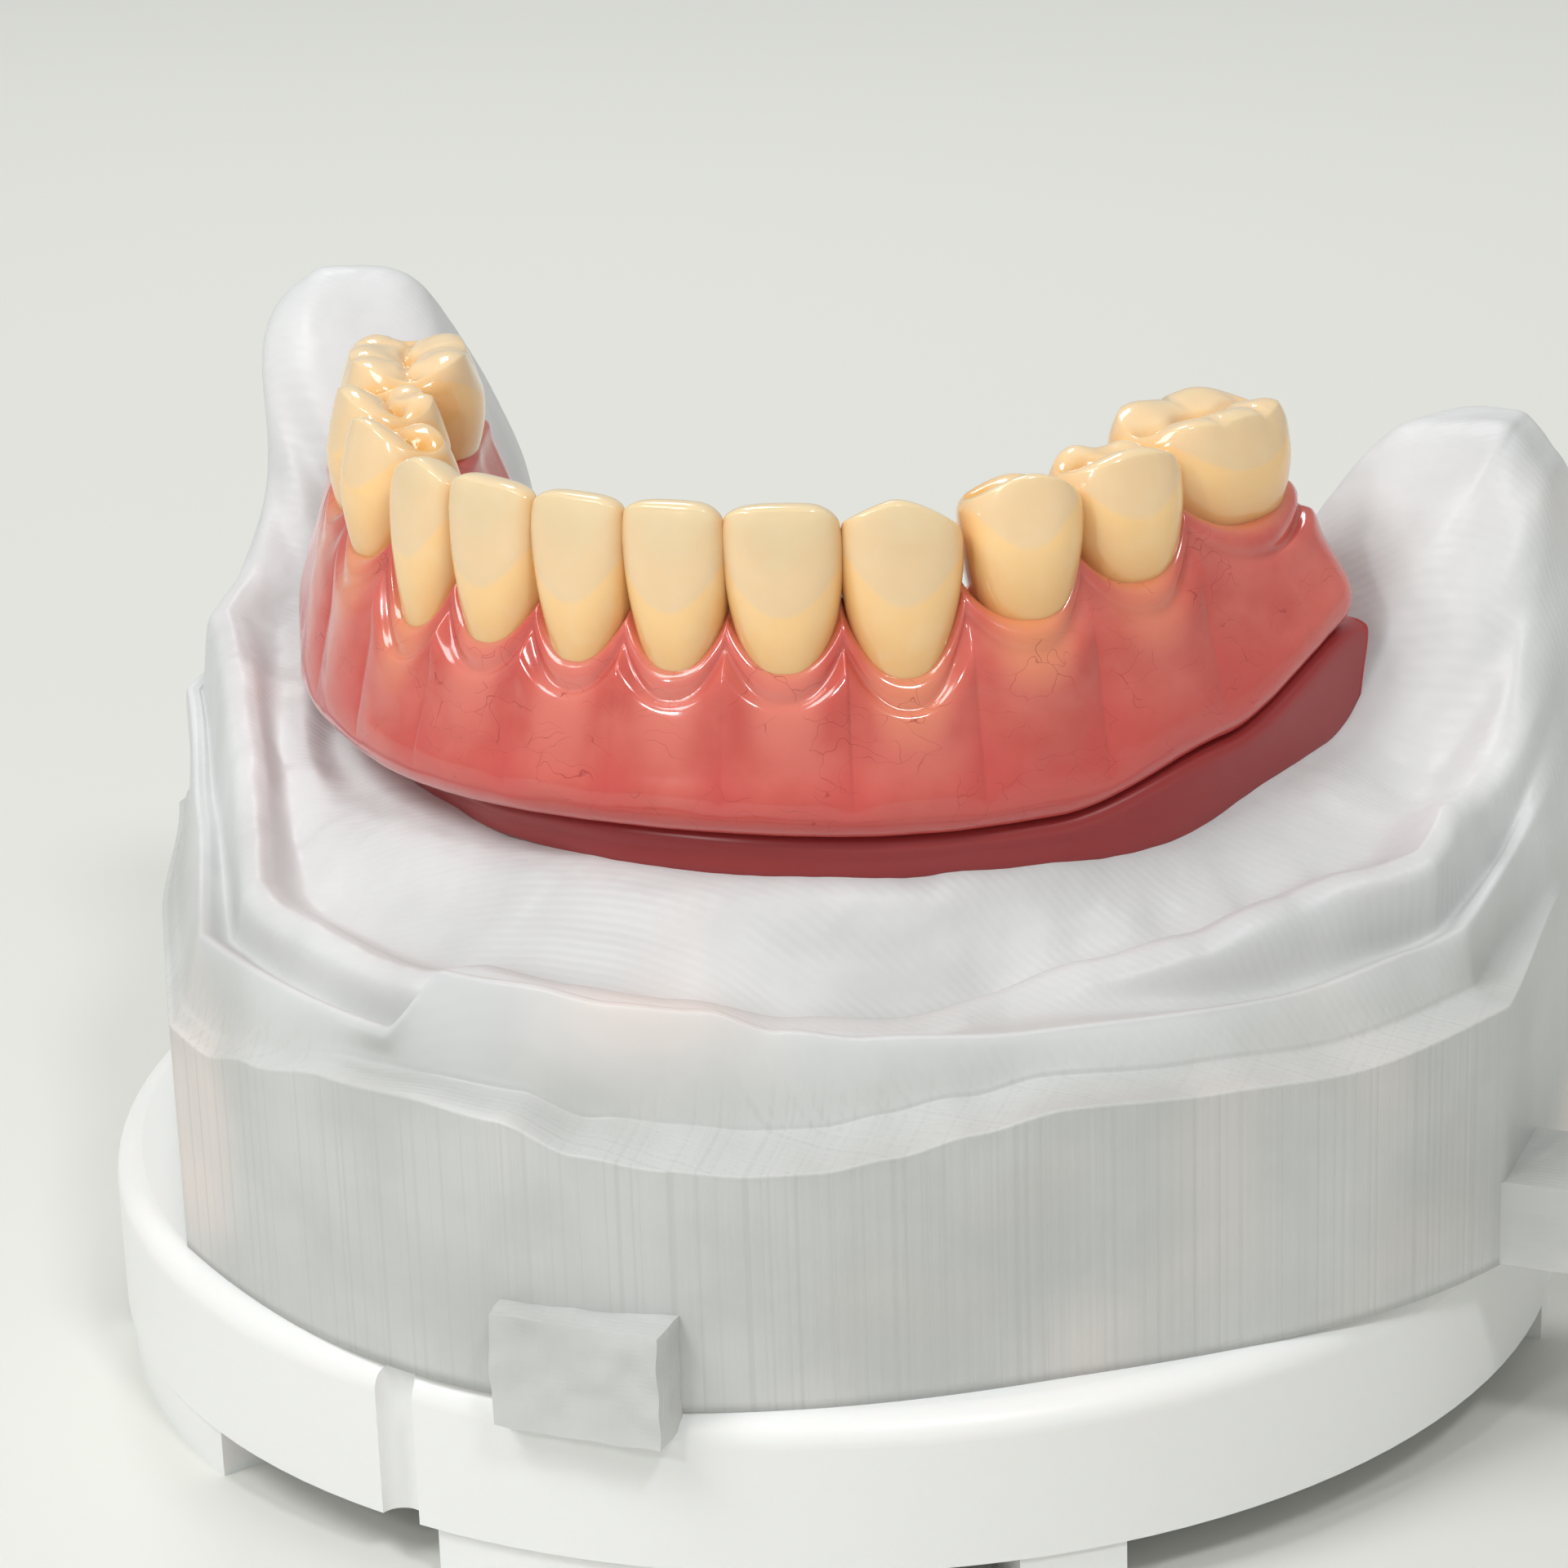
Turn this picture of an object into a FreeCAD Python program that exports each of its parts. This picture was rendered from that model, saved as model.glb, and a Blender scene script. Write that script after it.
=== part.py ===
import FreeCAD, Part
import math
import os

import Sketcher

# Lower implant denture on a printed jaw model, standing on a round mounting plate.
# Millimetres, +Z up, the front of the jaw towards -Y.
# The origin is the centre of the plate, on the plane that its feet stand on.

doc = FreeCAD.newDocument("lower_denture_on_model")


# ---------------------------------------------------------------- driving sizes

SIZES = {
    # mounting plate
    "plate_radius": 44.8,
    "plate_depth": 9.2,
    "plate_shoulder": 1.6,
    "foot_height": 3.2,
    "foot_width": 6.0,
    "index_groove_radius": 1.3,
    "index_groove_angle": -12.0,
    "screw_radius": 2.5,
    "screw_depth": 5.0,
    "screw_boss_radius": 6.0,
    "magnet_radius": 10.0,
    "magnet_depth": 3.0,
    "magnet_recess": 0.05,
    # printed model: base and wall
    "jaw_shift": -1.0,
    "wall_front": 44.5,
    "wall_waist": 1.8,
    "wall_flare": 3.4,
    "wall_side": 46.5,
    "wall_left_facet": 41.0,
    "wall_height": 16.0,
    "wall_dip": 2.2,
    "floor_depth": 4.0,
    "floor_back": 14.0,
    "keeper_depth": 1.0,
    # printed model: border roll, ridge and heels, above the plate
    "roll_front": 22.0,
    "roll_molar": 26.5,
    "roll_heel": 31.0,
    "ridge_front": 24.8,
    "ridge_premolar": 24.4,
    "ridge_molar": 27.2,
    "heel_height_left": 46.4,
    "heel_height_right": 42.6,
    "heel_splay": 23.0,
    "heel_reach": 23.5,
    # cut sprues of the print
    "tab_width": 10.8,
    "tab_height": 8.0,
    "tab_thickness": 1.3,
    "tab_shift": 3.6,
    "tab_drop": 2.2,
    "bar_height": 5.2,
    "bar_width": 8.0,
    "bar_reach": 9.5,
    # dental arch at the incisal edges and buccal cusps
    "arch_half_width": 30.9,
    "arch_depth": 36.7,
    "arch_front": 25.6,
    "central_width": 5.5,
    "lateral_width": 6.1,
    "canine_width": 7.2,
    "premolar_width": 7.2,
    "second_premolar_width": 7.4,
    "molar_width": 11.0,
    "contact_gap": 0.10,
    # levels above the plate
    "incisal_level": 45.5,
    "under_front": 27.2,
    "under_premolar": 26.6,
    "under_molar": 29.6,
    "gum_front": 36.0,
    "gum_canine": 35.4,
    "gum_premolar": 38.2,
    "gum_molar": 40.1,
    # denture base
    "rim_front": 2.6,
    "rim_molar": 3.8,
    "lingual_reach": 8.0,
    "base_tail": 1.6,
    # mask and seat gap
    "seat_gap": 0.30,
    "mask_outer": 0.8,
    "mask_inner": 5.6,
    # snap attachments
    "implant_front_run": 9.0,
    "implant_back_run": 27.5,
    "analog_radius": 2.05,
    "analog_length": 12.0,
    "platform_level": 23.2,
    "abutment_radius": 1.90,
    "abutment_neck": 1.55,
    "abutment_height": 6.1,
    "abutment_clearance": 0.15,
    "snap_clearance": 0.05,
    "insert_wall": 0.45,
    "insert_roof": 0.50,
    "housing_wall": 0.50,
    "housing_roof": 0.50,
    "housing_height": 2.7,
    "bar_section_width": 3.6,
    "bar_section_height": 2.6,
    "bar_half_run": 34.0,
}

sheet = doc.addObject("Spreadsheet::Sheet", "Sizes")
for row, (alias, value) in enumerate(SIZES.items(), start=1):
    sheet.set("A%d" % row, alias)
    sheet.set("B%d" % row, str(value))
    sheet.setAlias("B%d" % row, alias)
doc.recompute()


def size(alias):
    """Return one driving size from the sheet."""
    return float(sheet.get(alias))


def value_of(expression):
    """Return what an expression over the sheet comes to."""
    result = sheet.evalExpression(expression)
    return float(getattr(result, "Value", result))


PLATE_TOP = size("foot_height") + size("plate_depth")
ARCH_CENTRE = size("arch_depth") - size("arch_front")
TOOTH_WIDTHS = [
    ("central_incisor", size("central_width")),
    ("lateral_incisor", size("lateral_width")),
    ("canine", size("canine_width")),
    ("first_premolar", size("premolar_width")),
    ("second_premolar", size("second_premolar_width")),
    ("first_molar", size("molar_width")),
]
ARCH_RUN = sum(width for name, width in TOOTH_WIDTHS)
JAW = FreeCAD.Placement(FreeCAD.Vector(size("jaw_shift"), 0, 0), FreeCAD.Rotation())


# ---------------------------------------------------------------- the arch line

ARC_STEP = math.radians(0.5)


def arch_angle(run):
    """Return the angle on the arch ellipse at a distance from the midline."""
    angle = 0.0
    left = abs(run)
    while left > 0:
        middle = angle + ARC_STEP / 2
        speed = math.hypot(size("arch_half_width") * math.cos(middle), size("arch_depth") * math.sin(middle))
        step = min(ARC_STEP, left / speed)
        angle += step
        left -= speed * step
    return math.copysign(angle, run)


def arch_frame(run):
    """Return the point and the outward direction of the arch line at a run, in plan.

    Runs are positive to the right. Past the last tooth the line goes on straight to the heel."""
    on_teeth = max(-ARCH_RUN, min(ARCH_RUN, run))
    angle = arch_angle(on_teeth)
    x = size("arch_half_width") * math.sin(angle)
    y = ARCH_CENTRE - size("arch_depth") * math.cos(angle)
    out_x = size("arch_depth") * math.sin(angle)
    out_y = -size("arch_half_width") * math.cos(angle)
    length = math.hypot(out_x, out_y)
    out_x = out_x / length
    out_y = out_y / length
    past = abs(run) - ARCH_RUN
    if past > 0:
        splay = math.radians(size("heel_splay"))
        side = math.copysign(1.0, run)
        x += side * past * math.sin(splay)
        y += past * math.cos(splay)
        turn = min(1.0, past / 6.0)
        out_x += turn * (side * math.cos(splay) - out_x)
        out_y += turn * (-math.sin(splay) - out_y)
    return x, y, out_x, out_y


def at(run, outward, level):
    """Return the 3-D point at a run, an offset outward from the arch line and a level."""
    x, y, out_x, out_y = arch_frame(run)
    return FreeCAD.Vector(x + out_x * outward, y + out_y * outward, level)


def blend(run, keys):
    """Return a value eased between (run, value) keys, the same on both sides."""
    here = abs(run)
    if here <= keys[0][0]:
        return keys[0][1]
    for (start, low), (end, high) in zip(keys, keys[1:]):
        if here <= end:
            share = (here - start) / (end - start)
            share = share * share * (3 - 2 * share)
            return low + (high - low) * share
    return keys[-1][1]


CANINE_RUN = size("central_width") + size("lateral_width") + size("canine_width") / 2
PREMOLAR_RUN = CANINE_RUN + size("canine_width") / 2 + size("premolar_width")
HEEL_RUN = ARCH_RUN + size("heel_reach") * 0.65
END_RUN = ARCH_RUN + size("heel_reach")


def ridge_level(run):
    keys = [
        (0, size("ridge_front")),
        (CANINE_RUN, size("ridge_premolar")),
        (PREMOLAR_RUN, size("ridge_premolar")),
        (ARCH_RUN, size("ridge_molar")),
    ]
    return PLATE_TOP + blend(run, keys)


def under_level(run):
    keys = [
        (0, size("under_front")),
        (CANINE_RUN, size("under_premolar")),
        (PREMOLAR_RUN, size("under_premolar")),
        (ARCH_RUN, size("under_molar")),
    ]
    return PLATE_TOP + blend(run, keys)


def gum_level(run):
    keys = [
        (0, size("gum_front")),
        (CANINE_RUN, size("gum_canine")),
        (PREMOLAR_RUN + 3, size("gum_premolar")),
        (ARCH_RUN - 4, size("gum_molar")),
    ]
    return PLATE_TOP + blend(run, keys)


def polygon_section(points):
    """Return a closed wire of straight edges."""
    return Part.makePolygon(list(points) + [points[0]])


def loft(sections):
    """Return the solid through closed sections."""
    return Part.makeLoft(sections, True, False)


def raised(shape):
    """Return a copy of a seat, raised by the gap that what stands on it keeps."""
    copy = shape.copy()
    copy.translate(FreeCAD.Vector(0, 0, size("seat_gap")))
    return copy


def add_feature(name, shape, placement=None):
    """Add a sub-part made with Part's own functions."""
    feature = doc.addObject("Part::Feature", name)
    feature.Label = name
    feature.Shape = shape
    feature.Placement = placement or FreeCAD.Placement()
    return feature


nodes = []


# ---------------------------------------------------------------- mounting plate

def cylinder(name, radius, height, level, x="0", y="0"):
    """Add a Part cylinder whose sizes and place are bound to the sheet."""
    solid = doc.addObject("Part::Cylinder", name)
    solid.setExpression("Radius", radius)
    solid.setExpression("Height", height)
    solid.setExpression("Placement.Base.x", x)
    solid.setExpression("Placement.Base.y", y)
    solid.setExpression("Placement.Base.z", level)
    return solid


def foot(name, start, end):
    """Add one foot: a sector of the rim between two angles from the front."""
    sector = cylinder(name + "_sector", "Sizes.plate_radius - 0.3", "Sizes.foot_height + 0.5", "0")
    sector.Angle = end - start
    sector.Placement.Rotation = FreeCAD.Rotation(FreeCAD.Vector(0, 0, 1), start - 90)
    core = cylinder(name + "_core", "Sizes.plate_radius - 0.3 - Sizes.foot_width", "Sizes.foot_height + 2", "-1")
    ring = doc.addObject("Part::Cut", name)
    ring.Base = sector
    ring.Tool = core
    return ring


plate_blank = cylinder("plate_blank", "Sizes.plate_radius", "Sizes.plate_depth", "Sizes.foot_height")
doc.recompute()
plate_rounded = doc.addObject("Part::Fillet", "plate_rounded")
plate_rounded.Base = plate_blank
top_edges = []
for number, edge in enumerate(plate_blank.Shape.Edges, start=1):
    if edge.BoundBox.ZMin > PLATE_TOP - 0.01:
        top_edges.append((number, size("plate_shoulder"), size("plate_shoulder")))
plate_rounded.Edges = top_edges

FOOT_SECTORS = [(-9, 8), (11, 28), (34, 42), (95, 128), (150, 172), (188, 210), (-128, -104), (-62, -33)]
feet = []
for number, (start, end) in enumerate(FOOT_SECTORS, start=1):
    feet.append(foot("plate_foot_%d" % number, start, end))
screw_boss = cylinder("screw_boss", "Sizes.screw_boss_radius", "Sizes.foot_height + 0.5", "0")
plate_body = doc.addObject("Part::MultiFuse", "plate_body")
plate_body.Shapes = [plate_rounded, screw_boss] + feet

index_groove = cylinder(
    "index_groove",
    "Sizes.index_groove_radius",
    "Sizes.foot_height + Sizes.plate_depth",
    "0",
    "Sizes.plate_radius * sin(Sizes.index_groove_angle * 1 deg)",
    "-Sizes.plate_radius * cos(Sizes.index_groove_angle * 1 deg)",
)
screw_hole = cylinder("screw_hole", "Sizes.screw_radius", "Sizes.foot_height + Sizes.screw_depth + 1", "-1")
magnet_pocket = cylinder(
    "magnet_pocket",
    "Sizes.magnet_radius",
    "Sizes.magnet_depth + Sizes.magnet_recess + 1",
    "Sizes.foot_height + Sizes.plate_depth - Sizes.magnet_depth - Sizes.magnet_recess",
)
plate_cutters = doc.addObject("Part::MultiFuse", "plate_cutters")
plate_cutters.Shapes = [index_groove, screw_hole, magnet_pocket]
mounting_plate = doc.addObject("Part::Cut", "mounting_plate")
mounting_plate.Base = plate_body
mounting_plate.Tool = plate_cutters
mounting_plate.Label = "mounting_plate"
nodes.append(mounting_plate)

plate_magnet = cylinder(
    "plate_magnet",
    "Sizes.magnet_radius",
    "Sizes.magnet_depth",
    "Sizes.foot_height + Sizes.plate_depth - Sizes.magnet_depth - Sizes.magnet_recess",
)
plate_magnet.Label = "plate_magnet"
nodes.append(plate_magnet)


# ---------------------------------------------------------------- printed model

LEFT_FACET_BEARING = -60.0


def wall_radius(bearing):
    """Return the outline's distance from the jaw centre at a bearing in degrees from the front."""
    away = abs(bearing)
    waist = size("wall_waist") * math.sin(math.radians(min(away, 76.0) * 90 / 38)) ** 2
    flare = size("wall_flare") * (max(0.0, min(away, 76.0) - 38) / 38) ** 1.5
    radius = size("wall_front") - waist + flare
    side = size("wall_side") / max(0.05, math.sin(math.radians(away)))
    if away < 76:
        side = min(side, radius)
    if -115 < bearing < -5:
        side = min(side, size("wall_left_facet") / math.cos(math.radians(bearing - LEFT_FACET_BEARING)))
    return side


def wall_reach(run):
    """Return how far outward of the arch line the wall stands at a run."""
    x, y, out_x, out_y = arch_frame(run)
    low = 2.0
    high = 40.0
    for halving in range(30):
        middle = (low + high) / 2
        px = x + out_x * middle
        py = y + out_y * middle
        if math.hypot(px, py) < wall_radius(math.degrees(math.atan2(px, -py))):
            low = middle
        else:
            high = middle
    return low


def model_section(run):
    """Return the model's section: wall, border roll, sulcus, ridge and lingual side."""
    reach = wall_reach(run)
    heel = blend(run, [(ARCH_RUN - 2, 0.0), (HEEL_RUN, 1.0)])
    end = blend(run, [(HEEL_RUN, 0.0), (END_RUN, 1.0)])
    dip = size("wall_dip") * math.exp(-((run - 15) / 11) ** 2)
    heel_height = size("heel_height_right") if run > 0 else size("heel_height_left")
    crest = ridge_level(run) + heel * (PLATE_TOP + heel_height - ridge_level(run)) - 12 * end
    roll_keys = [(0, size("roll_front")), (ARCH_RUN, size("roll_molar")), (HEEL_RUN, size("roll_heel"))]
    roll = PLATE_TOP + blend(run, roll_keys) - 0.7 * dip - 6 * end
    wall_top = PLATE_TOP + size("wall_height") - dip + 5 * heel
    points = [
        (-14.0 + 3.0 * heel, PLATE_TOP),
        (reach, PLATE_TOP),
        (reach, wall_top),
        (reach - 4.4 + 2.5 * heel, roll),
        (reach - 8.5 + 5.1 * heel, roll - 1.6 + 2.6 * heel),
        (3.6 + (reach - 8.5) * heel, crest - 2.2 - 2.3 * heel),
        (1.4 + (reach - 9.3) * heel, crest - 0.3 * heel),
        (-6.6 + (2.1 + end) * heel, crest),
        (-9.6 + (2.1 + end) * heel, crest - 3.0 - 3.0 * heel),
        (-13.0 + 2.0 * heel, PLATE_TOP + 11),
    ]
    return polygon_section([at(run, outward, level) for outward, level in points])


model_runs = [0, 8, 16, 24, 32, 40]
model_runs += [ARCH_RUN + size("heel_reach") * share for share in (0.2, 0.45, 0.7, 1.0)]
model_stations = sorted([-run for run in model_runs if run > 0] + model_runs)
horseshoe = loft([model_section(run) for run in model_stations])

floor_half_width = size("arch_half_width") - 12
floor_front = size("arch_front") - 12
model_floor = Part.makeBox(
    2 * floor_half_width,
    floor_front + size("floor_back"),
    size("floor_depth"),
    FreeCAD.Vector(-floor_half_width, -floor_front, PLATE_TOP),
)

tab_back = size("plate_radius") + size("seat_gap")
tab_front = tab_back + size("tab_thickness")
tab_bottom = PLATE_TOP - size("tab_drop")
model_tab = Part.makeBox(
    size("tab_width"),
    tab_front - tab_back,
    size("tab_height"),
    FreeCAD.Vector(size("tab_shift") - size("tab_width") / 2, -tab_front, tab_bottom),
)
model_tab_root = Part.makeBox(
    size("tab_width"),
    tab_front - size("wall_front") + 2,
    tab_bottom + size("tab_height") - PLATE_TOP,
    FreeCAD.Vector(size("tab_shift") - size("tab_width") / 2, -tab_front, PLATE_TOP),
)

BAR_FRONT = -12.0
model_side_bar = Part.makeBox(
    size("bar_reach") + 3,
    size("bar_width"),
    size("bar_height"),
    FreeCAD.Vector(size("wall_side") - 3, BAR_FRONT, PLATE_TOP),
)

keeper_pocket = Part.makeCylinder(
    size("magnet_radius"),
    size("keeper_depth") + size("magnet_recess") + 1,
    FreeCAD.Vector(-size("jaw_shift"), 0, PLATE_TOP - 1),
)

IMPLANT_RUNS = [
    -size("implant_back_run"),
    -size("implant_front_run"),
    size("implant_front_run"),
    size("implant_back_run"),
]
IMPLANT_OFFSET = -2.6
PLATFORM = PLATE_TOP + size("platform_level")

model_shape = horseshoe.fuse([model_floor, model_tab_root, model_side_bar])
model_shape = model_shape.fuse(model_tab)
model_shape = model_shape.cut(keeper_pocket)
for run in IMPLANT_RUNS:
    bottom = at(run, IMPLANT_OFFSET, PLATFORM - size("analog_length"))
    model_shape = model_shape.cut(Part.makeCylinder(size("analog_radius"), size("analog_length"), bottom))
    bottom.z = PLATFORM
    throat = size("abutment_radius") + size("abutment_clearance")
    model_shape = model_shape.cut(Part.makeCylinder(throat, 8, bottom))
nodes.append(add_feature("printed_model", model_shape, JAW))

keeper_disc = cylinder(
    "keeper_disc",
    "Sizes.magnet_radius",
    "Sizes.keeper_depth",
    "Sizes.foot_height + Sizes.plate_depth + Sizes.magnet_recess",
)
keeper_disc.Label = "keeper_disc"
nodes.append(keeper_disc)


# ---------------------------------------------------------------- snap attachments

def turned_piece(name, corners, position):
    """Add a body turned about its own Z axis from (radius, height) expressions.

    Corners run round the half section. "0" puts a corner on the axis or on the base."""
    body = doc.addObject("PartDesign::Body", name)
    body.Label = name
    sketch = body.newObject("Sketcher::SketchObject", name + "_profile")
    plane = [item for item in body.Origin.OriginFeatures if item.Role == "XZ_Plane"][0]
    sketch.AttachmentSupport = [(plane, "")]
    sketch.MapMode = "FlatFace"
    spots = []
    for radius, height in corners:
        spots.append(FreeCAD.Vector(value_of(radius), value_of(height), 0))
    count = len(corners)
    for number in range(count):
        line = Part.LineSegment(spots[number], spots[(number + 1) % count])
        sketch.addGeometry(line, False)
    for number in range(count):
        sketch.addConstraint(Sketcher.Constraint("Coincident", number, 2, (number + 1) % count, 1))
    for number, (radius, height) in enumerate(corners):
        if radius == "0":
            sketch.addConstraint(Sketcher.Constraint("PointOnObject", number, 1, -2))
        else:
            index = sketch.addConstraint(Sketcher.Constraint("DistanceX", -1, 1, number, 1, spots[number].x))
            sketch.setExpression("Constraints[%d]" % index, radius)
        if height == "0":
            sketch.addConstraint(Sketcher.Constraint("PointOnObject", number, 1, -1))
        else:
            index = sketch.addConstraint(Sketcher.Constraint("DistanceY", -1, 1, number, 1, spots[number].y))
            sketch.setExpression("Constraints[%d]" % index, height)
    turning = body.newObject("PartDesign::Revolution", name + "_turning")
    turning.Profile = sketch
    turning.ReferenceAxis = (sketch, ["V_Axis"])
    turning.Angle = 360
    body.Placement = FreeCAD.Placement(position, FreeCAD.Rotation())
    return body


HOUSING_RADIUS = (
    size("abutment_radius") + size("snap_clearance") + size("insert_wall") + size("housing_wall")
)
HOUSING_TOP = PLATFORM + size("abutment_height") + size("snap_clearance") + size("insert_roof")
HOUSING_TOP = HOUSING_TOP + size("housing_roof")
HOUSING_BOTTOM = HOUSING_TOP - size("housing_height")
cuff = "Sizes.abutment_height - 2.4"
insert_in = "Sizes.abutment_radius + Sizes.snap_clearance"
insert_out = "Sizes.abutment_radius + Sizes.snap_clearance + Sizes.insert_wall"
housing_out = insert_out + " + Sizes.housing_wall"
insert_high = "Sizes.housing_height - Sizes.housing_roof"

for number, run in enumerate(IMPLANT_RUNS, start=1):
    spot = at(run, IMPLANT_OFFSET, 0) + JAW.Base
    analog_foot = FreeCAD.Vector(spot.x, spot.y, PLATFORM - size("analog_length"))
    platform_spot = FreeCAD.Vector(spot.x, spot.y, PLATFORM)
    housing_spot = FreeCAD.Vector(spot.x, spot.y, HOUSING_BOTTOM)
    analog = turned_piece(
        "implant_analog_%d" % number,
        [
            ("0", "0"),
            ("Sizes.analog_radius", "0"),
            ("Sizes.analog_radius", "3"),
            ("Sizes.analog_radius - 0.35", "3.5"),
            ("Sizes.analog_radius - 0.35", "6.5"),
            ("Sizes.analog_radius", "7"),
            ("Sizes.analog_radius", "Sizes.analog_length"),
            ("0", "Sizes.analog_length"),
        ],
        analog_foot,
    )
    abutment = turned_piece(
        "abutment_%d" % number,
        [
            ("0", "0"),
            ("Sizes.abutment_radius - 0.1", "0"),
            ("Sizes.abutment_radius - 0.1", cuff),
            ("Sizes.abutment_radius", cuff + " + 0.3"),
            ("Sizes.abutment_radius", cuff + " + 0.9"),
            ("Sizes.abutment_neck", cuff + " + 1.2"),
            ("Sizes.abutment_neck", cuff + " + 1.5"),
            ("Sizes.abutment_radius", cuff + " + 1.8"),
            ("Sizes.abutment_radius", "Sizes.abutment_height - 0.2"),
            ("Sizes.abutment_radius - 0.2", "Sizes.abutment_height"),
            ("0.9", "Sizes.abutment_height"),
            ("0.7", "Sizes.abutment_height - 1.4"),
            ("0", "Sizes.abutment_height - 1.4"),
        ],
        platform_spot,
    )
    retention_insert = turned_piece(
        "retention_insert_%d" % number,
        [
            (insert_in, "0"),
            (insert_out, "0"),
            (insert_out, insert_high),
            ("0", insert_high),
            ("0", insert_high + " - Sizes.insert_roof"),
            (insert_in, insert_high + " - Sizes.insert_roof"),
        ],
        housing_spot,
    )
    housing = turned_piece(
        "insert_housing_%d" % number,
        [
            (insert_out, "0"),
            (housing_out, "0"),
            (housing_out, "Sizes.housing_height"),
            ("0", "Sizes.housing_height"),
            ("0", insert_high),
            (insert_out, insert_high),
        ],
        housing_spot,
    )
    nodes += [analog, abutment, retention_insert, housing]


# ---------------------------------------------------------------- gingiva mask

def mask_section(run):
    """Return the mask's section: a strip on the ridge, under the denture base."""
    bottom = ridge_level(run) - 0.4
    top = under_level(run) - size("seat_gap")
    outer = size("mask_outer")
    inner = -size("mask_inner")
    points = [
        (inner, bottom),
        (outer, bottom),
        (outer + 0.5, top),
        (inner - 0.5, top),
    ]
    return polygon_section([at(run, outward, level) for outward, level in points])


arch_runs = [0, 8, 16, 24, 32, 39, ARCH_RUN + size("base_tail")]
arch_stations = sorted([-run for run in arch_runs if run > 0] + arch_runs)
mask_shape = loft([mask_section(run) for run in arch_stations])
mask_shape = mask_shape.cut(raised(model_shape))
for run in IMPLANT_RUNS:
    bottom = at(run, IMPLANT_OFFSET, PLATFORM)
    throat = size("abutment_radius") + size("abutment_clearance") + size("seat_gap")
    mask_shape = mask_shape.cut(Part.makeCylinder(throat, 8, bottom))
nodes.append(add_feature("gingiva_mask", mask_shape, JAW))


# ---------------------------------------------------------------- reinforcing bar

BAR_BOTTOM = HOUSING_TOP


def bar_section(run):
    """Return the rectangular section of the bar that ties the housings together."""
    half = size("bar_section_width") / 2
    top = BAR_BOTTOM + size("bar_section_height")
    points = [
        (IMPLANT_OFFSET - half, BAR_BOTTOM),
        (IMPLANT_OFFSET + half, BAR_BOTTOM),
        (IMPLANT_OFFSET + half, top),
        (IMPLANT_OFFSET - half, top),
    ]
    return polygon_section([at(run, outward, level) for outward, level in points])


bar_shares = (-1.0, -0.8, -0.6, -0.4, -0.2, 0.0, 0.2, 0.4, 0.6, 0.8, 1.0)
bar_shape = loft([bar_section(share * size("bar_half_run")) for share in bar_shares])
nodes.append(add_feature("reinforcing_bar", bar_shape, JAW))


# ---------------------------------------------------------------- teeth

# kind: (crown height, depth at the neck, depth at the edge, width at the neck, drop below the incisal level)
TOOTH_FORMS = {
    "central_incisor": (9.6, 5.4, 1.5, 0.62, 0.0),
    "lateral_incisor": (9.7, 5.7, 1.6, 0.62, 0.1),
    "canine": (10.0, 6.8, 2.2, 0.66, 0.2),
    "first_premolar": (8.3, 6.9, 4.6, 0.72, -0.6),
    "second_premolar": (7.7, 7.3, 5.6, 0.76, -0.8),
    "first_molar": (6.8, 9.2, 7.6, 0.86, -1.3),
}
TOOTH_ROOT = 2.0
RING_POINTS = 16


def oval(width, depth, centre, level):
    """Return a closed, slightly squared oval round a crown at one level."""
    points = []
    for number in range(RING_POINTS):
        turn = 2 * math.pi * number / RING_POINTS
        across = math.copysign(abs(math.cos(turn)) ** 0.85, math.cos(turn)) * width / 2
        along = math.copysign(abs(math.sin(turn)) ** 0.9, math.sin(turn)) * depth / 2
        points.append(FreeCAD.Vector(across, centre + along, level))
    ring = Part.BSplineCurve()
    ring.interpolate(points, PeriodicFlag=True)
    return Part.Wire(ring.toShape())


def tooth_shape(kind, width):
    """Return a tooth about its own axis: +Y is labial, its edge at Z 0."""
    height, neck_depth, edge_depth, neck_share, drop = TOOTH_FORMS[kind]
    full = width - size("contact_gap")
    rings = [
        oval(full * neck_share * 0.7, neck_depth * 0.65, -neck_depth * 0.46, -height - TOOTH_ROOT),
        oval(full * neck_share, neck_depth * 0.94, -neck_depth * 0.48, -height),
        oval(full * (0.3 + 0.7 * neck_share), neck_depth, -neck_depth * 0.48, -height * 0.72),
        oval(full * 0.985, neck_depth * 0.45 + edge_depth * 0.55, -neck_depth * 0.34, -height * 0.32),
        oval(full * 0.98, edge_depth * 1.15, -edge_depth * 0.75, -height * 0.10),
        oval(full * 0.90, edge_depth, -edge_depth * 0.75, 0),
    ]
    return loft(rings)


def tooth_placement(run, drop):
    """Return the placement that stands a tooth on the arch line at a run."""
    x, y, out_x, out_y = arch_frame(run)
    bearing = math.degrees(math.atan2(out_y, out_x)) - 90
    base = FreeCAD.Vector(x, y, PLATE_TOP + size("incisal_level") - drop) + JAW.Base
    return FreeCAD.Placement(base, FreeCAD.Rotation(FreeCAD.Vector(0, 0, 1), bearing))


teeth = []
for side_name, side in (("left", -1), ("right", 1)):
    run = 0.0
    neighbour = teeth[0] if teeth else None
    for kind, width in TOOTH_WIDTHS:
        middle = side * (run + width / 2)
        run += width
        placement = tooth_placement(middle, TOOTH_FORMS[kind][4])
        crown = tooth_shape(kind, width)
        if neighbour:
            beside = neighbour.Shape.copy()
            beside.transformShape(placement.inverse().toMatrix(), True)
            crown = crown.cut(beside)
        neighbour = add_feature("tooth_%s_%s" % (side_name, kind), crown, placement)
        teeth.append(neighbour)
nodes += teeth


# ---------------------------------------------------------------- denture base

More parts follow.
